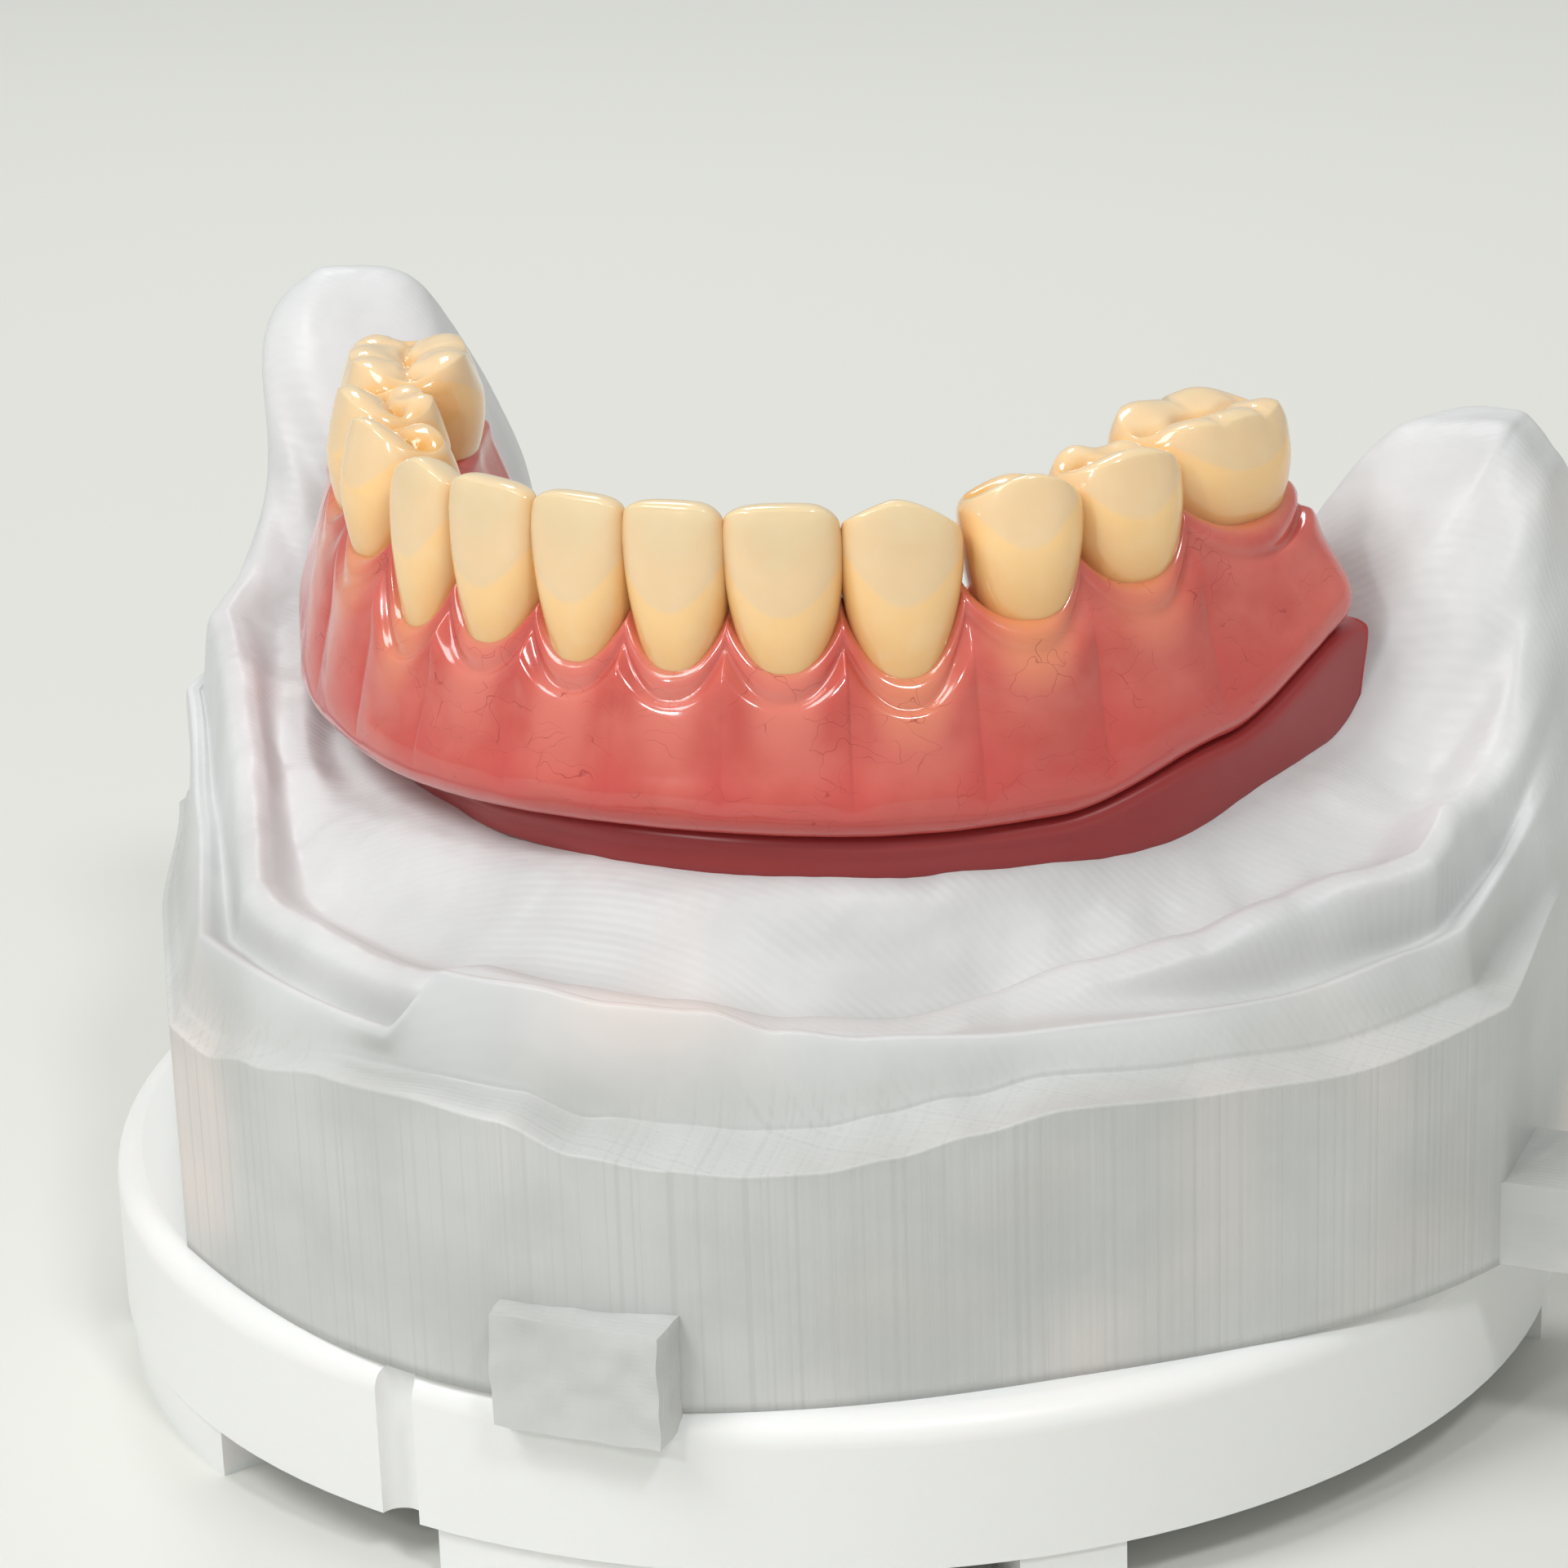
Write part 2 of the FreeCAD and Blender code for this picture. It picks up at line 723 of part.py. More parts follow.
def base_section(run):
    """Return the base's section: flat underneath, rounded rim, gum up to the necks."""
    under = under_level(run)
    gum = gum_level(run)
    rim = blend(run, [(CANINE_RUN, size("rim_front")), (ARCH_RUN, size("rim_molar"))])
    molar = blend(run, [(PREMOLAR_RUN, 0.0), (ARCH_RUN - 4, 1.0)])
    back = -size("lingual_reach") - 2.4 * molar
    outline = [
        (rim - 1.4, under),
        (rim - 0.1, under + 0.7),
        (rim + 0.3, under + 2.6),
        (rim - 0.5, gum - 3.4),
        (0.5 + 0.8 * molar, gum - 0.6),
        (-0.8, gum + 0.5),
        (-4.6 - 3.4 * molar, gum + 0.5),
        (-6.2 - 3.0 * molar, gum - 1.2),
        (back, under + 3.6),
        (back + 0.3, under + 1.0),
        (back + 1.6, under),
    ]
    spots = [at(run, outward, level) for outward, level in outline]
    gum_curve = Part.BSplineCurve()
    gum_curve.interpolate(spots)
    return Part.Wire([gum_curve.toShape(), Part.makeLine(spots[-1], spots[0])])


base_shape = loft([base_section(run) for run in arch_stations])
for run in IMPLANT_RUNS:
    bottom = at(run, IMPLANT_OFFSET, PLATFORM)
    base_shape = base_shape.cut(Part.makeCylinder(HOUSING_RADIUS, HOUSING_TOP - PLATFORM, bottom))
base_shape = base_shape.cut([bar_shape, raised(model_shape)])
base_shape.Placement = JAW
for tooth in teeth:
    base_shape = base_shape.cut(tooth.Shape)
nodes.append(add_feature("denture_base", base_shape))


# ---------------------------------------------------------------- checks and export

doc.recompute()
for item in doc.Objects:
    if "Invalid" in item.State or "Error" in item.State:
        raise RuntimeError("%s did not recompute" % item.Label)
for node in nodes:
    if node.Shape.isNull() or not node.Shape.isValid():
        raise RuntimeError("%s has no valid shape" % node.Label)

os.makedirs("parts", exist_ok=True)
for node in nodes:
    node.Shape.exportStep("parts/%s.step" % node.Label)
    print(node.Label, round(node.Shape.Volume, 1), len(node.Shape.Solids))
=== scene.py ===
import bpy
import math
import numpy as np
from mathutils import Matrix, noise


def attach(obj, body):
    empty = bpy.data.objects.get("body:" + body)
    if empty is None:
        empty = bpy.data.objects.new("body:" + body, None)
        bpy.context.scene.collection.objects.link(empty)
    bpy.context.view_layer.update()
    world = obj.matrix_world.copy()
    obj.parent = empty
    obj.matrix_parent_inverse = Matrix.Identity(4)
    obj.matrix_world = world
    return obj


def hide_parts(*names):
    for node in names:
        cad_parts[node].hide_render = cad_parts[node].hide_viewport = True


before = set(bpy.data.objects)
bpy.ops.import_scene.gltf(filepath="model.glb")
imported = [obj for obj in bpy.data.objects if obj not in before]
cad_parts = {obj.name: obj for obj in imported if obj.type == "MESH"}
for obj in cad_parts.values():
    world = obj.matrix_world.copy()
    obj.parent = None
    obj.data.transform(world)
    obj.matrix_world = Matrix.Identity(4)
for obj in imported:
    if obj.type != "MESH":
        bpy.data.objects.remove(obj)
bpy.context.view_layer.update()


# ---- Printed jaw model
# A light grey photopolymer resin print of a lower jaw: a horseshoe with an upright trimmed wall,
# a shelf and a lip over it, a rolled border, and two heels behind the denture.
# Printed in upright layers and left unpolished, so it is dull with fine lines on the wall.

# The jaw and the denture on it follow one line in plan, through the biting edges of the teeth.
# It is half an ellipse along the teeth and runs on, splayed, to the heels. Sizes are in mm.
MM = 0.001
PLATE_TOP = 12.4
JAW_SHIFT = -1.0
ARCH_HALF_WIDTH = 30.9
ARCH_DEPTH = 36.7
ARCH_FRONT = 25.6
ARCH_RUN = 44.4
HEEL_SPLAY = 23.0
HEEL_REACH = 23.5
END_RUN = ARCH_RUN + HEEL_REACH


def arch_table(step=0.05):
    """Return runs, x, y and heading along the right half of the arch line."""
    angle = np.linspace(0, math.pi / 2, 4000)
    speed = np.hypot(ARCH_HALF_WIDTH * np.cos(angle), ARCH_DEPTH * np.sin(angle))
    length = np.concatenate([[0], np.cumsum((speed[1:] + speed[:-1]) / 2 * np.diff(angle))])
    run = np.arange(0, END_RUN + 4, step)
    at_run = np.interp(np.minimum(run, ARCH_RUN), length, angle)
    heading = np.arctan2(ARCH_DEPTH * np.sin(at_run), ARCH_HALF_WIDTH * np.cos(at_run))
    past = smooth((run - ARCH_RUN + 2) / 9)
    heading = heading + past * (math.radians(90 - HEEL_SPLAY) - heading)
    x = np.concatenate([[0], np.cumsum(np.cos(heading[:-1]) * step)])
    y = np.concatenate([[0], np.cumsum(np.sin(heading[:-1]) * step)]) - ARCH_FRONT
    return run, x, y, heading


def smooth(share):
    """Ease from 0 to 1, flat at both ends."""
    share = np.clip(share, 0, 1)
    return share * share * (3 - 2 * share)


ARCH = arch_table()


def arch_at(run):
    """Return x, y and the outward direction on the arch line for runs right (+) or left (-)."""
    side = np.where(run < 0, -1.0, 1.0)
    here = np.abs(run)
    x = np.interp(here, ARCH[0], ARCH[1])
    y = np.interp(here, ARCH[0], ARCH[2])
    heading = np.interp(here, ARCH[0], ARCH[3])
    return x * side, y, np.sin(heading) * side, -np.cos(heading)


def on_jaw(run, outward, level):
    """Return points in metres from a run, an offset outward and a level above the plate, in mm."""
    x, y, out_x, out_y = arch_at(run)
    height = level + PLATE_TOP + 0 * x
    return np.stack([x + out_x * outward + JAW_SHIFT, y + out_y * outward, height], -1) * MM


def keyed(run, keys):
    """Return an eased value between (run, value) keys."""
    at = np.array([key[0] for key in keys], float)
    value = np.array([key[1] for key in keys], float)
    index = np.clip(np.searchsorted(at, run) - 1, 0, len(at) - 2)
    share = smooth((run - at[index]) / (at[index + 1] - at[index]))
    return value[index] + (value[index + 1] - value[index]) * share


def new_piece(name, points, faces):
    """Return a mesh object, smooth-shaded except for its flat end caps."""
    mesh = bpy.data.meshes.new(name)
    mesh.from_pydata([tuple(point) for point in points], [], [tuple(face) for face in faces])
    mesh.validate()
    mesh.polygons.foreach_set("use_smooth", [len(face.vertices) <= 4 for face in mesh.polygons])
    piece = bpy.data.objects.new(name, mesh)
    bpy.context.scene.collection.objects.link(piece)
    return piece


def grid_faces(rows, columns, close_rows=False, close_columns=False):
    """Return the quads of a grid of points stored row by row."""
    row_count = rows if close_rows else rows - 1
    column_count = columns if close_columns else columns - 1
    row, column = np.meshgrid(np.arange(row_count), np.arange(column_count), indexing="ij")
    next_row = (row + 1) % rows
    next_column = (column + 1) % columns
    quads = [row * columns + column, row * columns + next_column]
    quads += [next_row * columns + next_column, next_row * columns + column]
    return np.stack(quads, -1).reshape(-1, 4).tolist()


def spline(points, count):
    """Return a smooth curve through control points: points is (controls, runs, 2)."""
    knots = np.zeros(points.shape[0])
    chord = np.linalg.norm(np.diff(points, axis=0), axis=-1).mean(axis=1)
    knots[1:] = np.cumsum(np.sqrt(np.maximum(chord, 0.02)))
    gap = np.diff(knots)[:, None, None]
    rate = np.diff(points, axis=0) / gap
    slopes = np.zeros_like(points)
    slopes[1:-1] = (rate[:-1] * gap[1:] + rate[1:] * gap[:-1]) / (gap[1:] + gap[:-1])
    slopes[0] = rate[0]
    slopes[-1] = rate[-1]
    where = np.linspace(0, knots[-1], count)
    index = np.clip(np.searchsorted(knots, where, side="right") - 1, 0, len(knots) - 2)
    width = (knots[index + 1] - knots[index])[:, None, None]
    share = (where - knots[index])[:, None, None] / width
    start = points[index]
    end = points[index + 1]
    out = slopes[index] * width
    into = slopes[index + 1] * width
    curve = (2 * share**3 - 3 * share**2 + 1) * start + (share**3 - 2 * share**2 + share) * out
    return curve + (3 * share**2 - 2 * share**3) * end + (share**3 - share**2) * into


def ripple(points, size_mm, seed):
    """Return smooth noise from -1 to 1 at points in metres, with lumps of one size."""
    flat = points.reshape(-1, 3) / (size_mm * MM) + np.array([seed, seed * 0.7, seed * 1.3])
    values = [noise.noise(tuple(point)) for point in flat]
    return np.array(values).reshape(points.shape[:-1])


# how far the wall stands from the middle: in front, less at the waist, more at the flare,
# then the two straight sides and the flat facet at the front left
WALL_FRONT = 44.5
WALL_WAIST = 1.8
WALL_FLARE = 3.4
WALL_SIDE_LEFT = 43.6
WALL_SIDE_RIGHT = 46.5
WALL_FACET = 39.9


def wall_bearing(run):
    """Return how far outward of the arch line the wall stands, and its bearing from the front."""
    x, y, out_x, out_y = arch_at(run)
    low = np.full_like(run, 2.0)
    high = np.full_like(run, 40.0)
    for halving in range(28):
        middle = (low + high) / 2
        px = x + out_x * middle
        py = y + out_y * middle
        bearing = np.degrees(np.arctan2(px, -py))
        near = np.minimum(np.abs(bearing), 76)
        waist = WALL_WAIST * np.sin(np.radians(near * 90 / 38)) ** 2
        flare = WALL_FLARE * (np.maximum(0, near - 38) / 38) ** 1.5
        side = np.where(bearing < 0, WALL_SIDE_LEFT, WALL_SIDE_RIGHT)
        side = side / np.maximum(0.05, np.sin(np.radians(np.abs(bearing))))
        curved = np.minimum(WALL_FRONT - waist + flare, side)
        radius = np.where(np.abs(bearing) < 76, curved, side)
        facet = WALL_FACET / np.maximum(0.3, np.cos(np.radians(bearing + 60)))
        radius = np.where((bearing > -115) & (bearing < -5), np.minimum(radius, facet), radius)
        inside = np.hypot(px, py) < radius
        low = np.where(inside, middle, low)
        high = np.where(inside, high, middle)
    return low, bearing


def ridge_level(run):
    """Return the level of the ridge's crest."""
    return keyed(np.abs(run), [(0, 24.8), (15, 24.4), (26, 24.4), (ARCH_RUN, 27.2)])


# each table runs round the model: (bearing from the front in degrees, value), left is negative
WALL_TOP = [(-120, 20), (-90, 16), (-60, 14.6), (-46, 14.4), (-33, 13.9), (-26, 15.1), (-16, 16.5),
            (-8, 16.8), (-1, 16.4), (5, 14.9), (11, 14.3), (17, 13.9), (22, 13.9), (27, 14.4),
            (33, 15.2), (40, 15.9), (52, 15.5), (62, 15.1), (76, 15.8), (90, 18), (120, 21)]
LIP_LEVEL = [(-120, 27), (-90, 24), (-60, 20.6), (-42, 19.2), (-13, 19.0), (-9, 22.2), (-1, 22.3),
             (6, 21.7), (13, 21.4), (19, 20.1), (26, 19.4), (40, 18.8), (60, 18.6), (72, 19.2),
             (84, 21.5), (120, 26)]
LIP_INSET = [(-120, 0.4), (-90, 0.8), (-60, 2.7), (-40, 2.4), (-13, 2.8), (-9, 4.9), (20, 5.0),
             (40, 4.4), (70, 4.0), (84, 2.2), (120, 1.6)]
GROOVE_DROP = [(-120, 0), (-70, 0), (-50, 0.5), (-30, 1.2), (-13, 1.3), (-9, 0.5), (28, 0.4),
               (42, 0.6), (60, 1.1), (74, 0.9), (84, 0.2), (120, 0)]
GROOVE_INSET = [(-120, 0.9), (-90, 1.6), (-60, 4.0), (-13, 4.6), (-9, 6.2), (28, 6.4), (50, 7.2),
                (70, 6.4), (84, 3.2), (120, 2.2)]
ROLL_INSET = [(-120, 1.8), (-90, 3.0), (-60, 5.9), (-14, 6.6), (-8, 8.0), (30, 8.4), (48, 9.8),
              (66, 9.0), (80, 5.6), (95, 4.2), (120, 3.0)]
ROLL_LEVEL = [(-120, 32), (-90, 29.5), (-76, 27.6), (-60, 25.0), (-46, 22.6), (-35, 20.9),
              (-14, 20.9), (-8, 21.4), (0, 21.1), (10, 20.6), (20, 19.3), (30, 18.7), (38, 19.1),
              (48, 20.2), (57, 20.9), (65, 21.9), (72, 23.0), (82, 24.9), (100, 25.6), (120, 27)]
SHELF_WIDTH = [(-120, 0.5), (-30, 0.8), (-10, 2.4), (0, 3.0), (36, 3.2), (50, 2.6), (76, 2.2),
               (90, 0.8)]
SHELF_RISE = [(-40, 0.8), (-10, 0.2), (0, 0.3), (10, 1.1), (28, 0.9), (36, 0.4), (60, 0.6),
              (90, 0.4)]
HEEL_TOP_LEFT = 46.6
HEEL_TOP_RIGHT = 42.6
# share of the heel's height, how far its side leans in on the left, and on the right
HEEL_SIDE = [(0.03, 0, 0.1), (0.08, 0, 0.2), (0.14, 0, 0.2), (0.20, 0, 0.4), (0.28, 0, 0.6),
             (0.36, 0, 0.9), (0.44, 0, 1.3), (0.52, 0, 1.6), (0.60, 0, 2.1), (0.68, 0, 2.8),
             (0.77, 0.1, 3.3), (0.86, 0.4, 4.0)]


def model_profile(run):
    """Return the control points of the model's section at each run: (controls, runs, 2)."""
    reach, bearing = wall_bearing(run)
    away = np.abs(run)
    left = run < 0
    left_heel = keyed(away, [(ARCH_RUN - 2, 0), (ARCH_RUN + 17, 1)])
    right_heel = keyed(away, [(ARCH_RUN - 2, 0), (ARCH_RUN + 14, 1)])
    heel = np.where(left, left_heel, right_heel)
    end = np.clip((away - ARCH_RUN - 16) / (END_RUN - ARCH_RUN - 16), 0, 1) ** 2.6
    ridge = ridge_level(run)
    dome = np.where(left, HEEL_TOP_LEFT, HEEL_TOP_RIGHT) - 15 * end
    wall = keyed(bearing, WALL_TOP)
    lip = keyed(bearing, LIP_LEVEL)
    lip_at = reach - keyed(bearing, LIP_INSET)
    groove_at = reach - keyed(bearing, GROOVE_INSET)
    groove = np.minimum(lip, keyed(bearing, ROLL_LEVEL)) - keyed(bearing, GROOVE_DROP)
    roll_at = reach - keyed(bearing, ROLL_INSET)
    roll = keyed(bearing, ROLL_LEVEL) - 6 * end
    shelf = keyed(bearing, SHELF_WIDTH)
    rise = keyed(bearing, SHELF_RISE)
    inner = 0.8

    def along(share):
        return roll_at + (inner - roll_at) * share

    front = [
        (reach, wall - 0.35),
        (reach, wall),
        (reach - 0.3, wall + 0.12),
        (reach - shelf, wall + rise),
        (reach - shelf - 0.35, wall + rise + 0.5),
        (lip_at + 0.25, lip - 0.35),
        (lip_at, lip),
        (lip_at - 0.5, lip - 0.1),
        (groove_at, groove),
        (roll_at + 1.0, np.maximum(roll - 0.7, groove + 0.2)),
        (roll_at, roll),
        (roll_at - 0.9, roll - 0.2),
        (along(0.30), roll - 1.3),
        (along(0.58), roll - 1.3 + (ridge - roll + 1.3) * 0.38),
        (along(0.84), ridge - 0.9),
        (0.4 + 0 * reach, ridge),
        (-3.0 + 0 * reach, ridge),
        (-6.4 + 0 * reach, ridge - 0.2),
        (-9.2 + 0 * reach, ridge - 3.0),
        (-11.4 + 0 * reach, 17.5 + 0 * reach),
        (-13.0 + 0 * reach, 9.0 + 0 * reach),
        (-14.0 + 0 * reach, 0 * reach),
    ]
    inside = np.where(left, 2.0, 1.7)
    back = [(reach, wall - 0.35), (reach, wall)]
    for share, left_inset, right_inset in HEEL_SIDE:
        back.append((reach - np.where(left, left_inset, right_inset), wall + (dome - wall) * share))
    back += [
        (reach - np.where(left, 1.4, 5.1), dome - 1.9),
        (reach - np.where(left, 3.0, 6.4), dome - 0.6),
        (reach - np.where(left, 4.8, 7.8), dome - 0.05),
        (-3.2 + inside, dome - 0.9),
        (-5.6 + inside, dome - 4.0),
        (-8.2 + inside, dome - 14),
        (-10.2 + 0 * reach, 9.0 + 0 * reach),
        (-11.0 + 0 * reach, 0 * reach),
    ]
    front = np.stack([np.stack(control, -1) for control in front])
    back = np.stack([np.stack(control, -1) for control in back])
    return front + (back - front) * heel[:, None]


MODEL_COLUMNS = 760
MODEL_RUNS = np.linspace(-END_RUN, END_RUN, MODEL_COLUMNS)
WALL_ROWS = 22
UPPER_ROWS = 300

profile = spline(model_profile(MODEL_RUNS), UPPER_ROWS)
wall_share = np.linspace(0, 1, WALL_ROWS, endpoint=False)[:, None]
outward = np.concatenate([profile[0, :, 0] + 0 * wall_share, profile[:, :, 0]])
level = np.concatenate([profile[0, :, 1] * wall_share, profile[:, :, 1]])
bearings = wall_bearing(MODEL_RUNS)[1]
lean = keyed(bearings, [(-120, 1.7), (-85, 1.7), (-62, 0), (0, 0)])
outward = outward - lean * keyed(level, [(0, 0), (16, 0.9), (32, 1.3), (45, 0)])
points = on_jaw(np.broadcast_to(MODEL_RUNS, outward.shape), outward, level)
rows, columns = level.shape
lumps = 0.30 * ripple(points, 8.0, 3.1) + 0.14 * ripple(points, 3.0, 7.7) + 0.05 * ripple(points, 1.1, 5.2)
above = smooth((level - keyed(bearings, LIP_LEVEL)) / 2.0)
points[..., 2] += lumps * above * MM
faces = grid_faces(rows, columns, close_rows=True)
count = rows * columns
faces += [list(range(0, count, columns))[::-1], list(range(columns - 1, count, columns))]
jaw_print = new_piece("jaw_print", points.reshape(-1, 3), faces)


def new_box(name, low, high, jitter=0.0, divisions=1):
    """Return a box between two corners in mm, cut fine and roughened by jitter."""
    low = np.array(low, float)
    high = np.array(high, float)
    built = []
    faces = []
    span = np.linspace(0, 1, divisions + 1)
    for axis in range(3):
        for side in (0, 1):
            first, second = [other for other in range(3) if other != axis]
            u, v = np.meshgrid(span, span, indexing="ij")
            share = np.zeros(u.shape + (3,))
            share[..., axis] = side
            share[..., first] = u
            share[..., second] = v
            base = sum(len(part) for part in built)
            quads = np.array(grid_faces(divisions + 1, divisions + 1)) + base
            flip = (axis == 1) != (side == 1)
            faces += [quad[::-1] if not flip else quad for quad in quads.tolist()]
            built.append((low + (high - low) * share).reshape(-1, 3))
    spots = np.concatenate(built)
    if jitter:
        wobble = np.stack([ripple(spots * MM, 1.6, seed) for seed in (1.0, 2.0, 3.0)], -1)
        spots = spots + jitter * wobble
    box = new_piece(name, spots * MM, faces)
    box.data.polygons.foreach_set("use_smooth", [False] * len(box.data.polygons))
    return box


model_floor = new_box("model_floor", (-19.5, -14, 12.4), (17.5, 14, 16.4))
cut_tab = new_box("cut_tab", (-2.0, -46.25, 11.5), (7.9, -41.5, 18.25), 0.14, 24)
side_bar = new_box("side_bar", (43.0, -12, 12.5), (54.8, -4, 17.6), 0.06, 12)


def linear(text):
    """Turn an sRGB hex colour to a linear RGBA."""
    channels = [int(text[place:place + 2], 16) / 255 for place in (1, 3, 5)]
    return [c / 12.92 if c <= 0.04045 else ((c + 0.055) / 1.055) ** 2.4 for c in channels] + [1.0]


def new_material(name, **settings):
    """Return a node material and its shader, with the shader's own values set."""
    material = bpy.data.materials.new(name)
    material.use_nodes = True
    shader = material.node_tree.nodes["Principled BSDF"]
    for setting, value in settings.items():
        shader.inputs[setting.replace("_", " ")].default_value = value
    return material, shader


def add_node(material, kind, feeds=None, values=None, **settings):
    """Add a node: feeds are sockets to link in, values its inputs, settings its properties."""
    node = material.node_tree.nodes.new(kind)
    for name, value in settings.items():
        setattr(node, name, value)
    for name, value in (values or {}).items():
        node.inputs[name].default_value = value
    for name, source in (feeds or {}).items():
        material.node_tree.links.new(source, node.inputs[name])
    return node


def mixed(material, factor, first, second):
    """Return the colour socket of a mix of two colours (sockets or hex) by a factor socket."""
    node = add_node(material, "ShaderNodeMix", {0: factor}, data_type="RGBA")
    for place, colour in ((6, first), (7, second)):
        if isinstance(colour, str):
            node.inputs[place].default_value = linear(colour)
        else:
            material.node_tree.links.new(colour, node.inputs[place])
    return node.outputs[2]


def ramped(material, value, low, high):
    """Return a socket that runs 0 to 1 as a value runs from low to high."""
    limits = {"From Min": low, "From Max": high}
    node = add_node(material, "ShaderNodeMapRange", {"Value": value}, limits,
                    interpolation_type="SMOOTHSTEP")
    return node.outputs["Result"]


def print_resin(name, line_share):
    """Grey print resin, cured and unpolished: dull, with fine upright lines from its layers."""
    material, shader = new_material(name, Roughness=0.42, IOR=1.5)
    shader.inputs["Subsurface Weight"].default_value = 0.08
    shader.inputs["Subsurface Radius"].default_value = (1.0, 0.95, 0.9)
    shader.inputs["Subsurface Scale"].default_value = 0.0015
    place = add_node(material, "ShaderNodeTexCoord").outputs["Object"]
    axes = add_node(material, "ShaderNodeSeparateXYZ", {"Vector": place})
    # clouds about 14 mm across, then warm patches of about 22 mm
    cloud = add_node(material, "ShaderNodeTexNoise", {"Vector": place}, {"Scale": 70.0, "Detail": 5.0})
    # painted shade: below the lip, the upright wall gets a darker grey than the upper surfaces of the same
    # resin, switched by height
    wall = mixed(material, ramped(material, cloud.outputs[0], 0.35, 0.65), "#BBBCBA", "#C8C9C8")
    upper = mixed(material, ramped(material, cloud.outputs[0], 0.35, 0.65), "#C9CACB", "#D6D7D8")
    colour = mixed(material, ramped(material, axes.outputs["Z"], 0.0285, 0.034), wall, upper)
    warm = add_node(material, "ShaderNodeTexNoise", {"Vector": place}, {"Scale": 45.0, "Detail": 2.0})
    colour = mixed(material, ramped(material, warm.outputs[0], 0.55, 0.80), colour, "#DDD3CE")
    # uneven lines, 0.26 and 0.34 mm apart
    lines = []
    for axis, per_metre in (("Y", 3900.0), ("X", 2900.0)):
        stripe = add_node(material, "ShaderNodeTexNoise", {"W": axes.outputs[axis]},
                          {"Scale": per_metre, "Detail": 1.5}, noise_dimensions="1D")
        lines.append(stripe.outputs[0])
    both = add_node(material, "ShaderNodeMath", {0: lines[0], 1: lines[1]}, operation="ADD")
    low = ramped(material, axes.outputs["Z"], 0.031, 0.027)
    dark = add_node(material, "ShaderNodeMath",
                    {0: ramped(material, both.outputs[0], 1.0, 0.7), 1: low}, operation="MULTIPLY")
    faint = add_node(material, "ShaderNodeMath", {0: dark.outputs[0]}, {1: line_share},
                     operation="MULTIPLY")
    colour = mixed(material, faint.outputs[0], colour, "#B5B6B3")
    height = add_node(material, "ShaderNodeMath", {0: both.outputs[0], 1: low}, operation="MULTIPLY")
    bump = add_node(material, "ShaderNodeBump", {"Height": height.outputs[0]},
                    {"Strength": 0.55 * line_share, "Distance": 0.0001})
    # steps 0.42 mm apart along Y, and a grain of about 1 mm
    layers = add_node(material, "ShaderNodeMath", {0: axes.outputs["Y"]}, {1: 15000.0},
                      operation="MULTIPLY")
    wave = add_node(material, "ShaderNodeMath", {0: layers.outputs[0]}, operation="SINE")
    step = add_node(material, "ShaderNodeBump", {"Height": wave.outputs[0], "Normal": bump.outputs[0]},
                    {"Strength": 0.05, "Distance": 0.0001})
    grain = add_node(material, "ShaderNodeTexNoise", {"Vector": place}, {"Scale": 900.0, "Detail": 2.0})
    soft = add_node(material, "ShaderNodeBump", {"Height": grain.outputs[0], "Normal": step.outputs[0]},
                    {"Strength": 0.15, "Distance": 0.0001})
    material.node_tree.links.new(colour, shader.inputs["Base Color"])
    material.node_tree.links.new(soft.outputs[0], shader.inputs["Normal"])
    return material


jaw_resin = print_resin("print_resin_unpolished", 0.38)
cut_resin = print_resin("print_resin_sawn", 0.04)
jaw_pieces = ((jaw_print, jaw_resin), (model_floor, jaw_resin), (cut_tab, cut_resin),
              (side_bar, cut_resin))
for piece, resin in jaw_pieces:
    piece.data.materials.append(resin)
    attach(piece, "jaw")
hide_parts("printed_model")


# ---- Mounting plate
# The white plate the model stands on, moulded in ABS with a satin skin.
# It keeps its shape: a rounded shoulder, feet round the rim and a groove that indexes it.


def repaint(material, *nodes):
    """Give CAD nodes a material on every slot."""
    for name in nodes:
        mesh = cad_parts[name].data
        for place in range(len(mesh.materials)):
            mesh.materials[place] = material


def satin_white():
    """White ABS with a moulded satin skin: bright, with a soft broad sheen."""
    material, shader = new_material("white_abs_satin", Roughness=0.38, IOR=1.5)
    shader.inputs["Base Color"].default_value = linear("#EBEBEA")
    shader.inputs["Subsurface Weight"].default_value = 0.1
    shader.inputs["Subsurface Scale"].default_value = 0.002
    return material


repaint(satin_white(), "mounting_plate")


# ---- Gingiva mask
# A band of deep pink silicone between the model and the denture, cast round the abutments.
# It shows as a darker step under the denture, and as an upright fin behind the last tooth on the right.

UNDER = [(0, 27.2), (18.8, 26.6), (33.4, 26.6), (ARCH_RUN, 29.6)]


def under_level(run):
    """Return the level of the denture's underside, which climbs behind the premolars on the right."""
    return keyed(np.abs(run), UNDER) + keyed(run, [(23, 0), (34, 2.4), (ARCH_RUN, 3.4)])


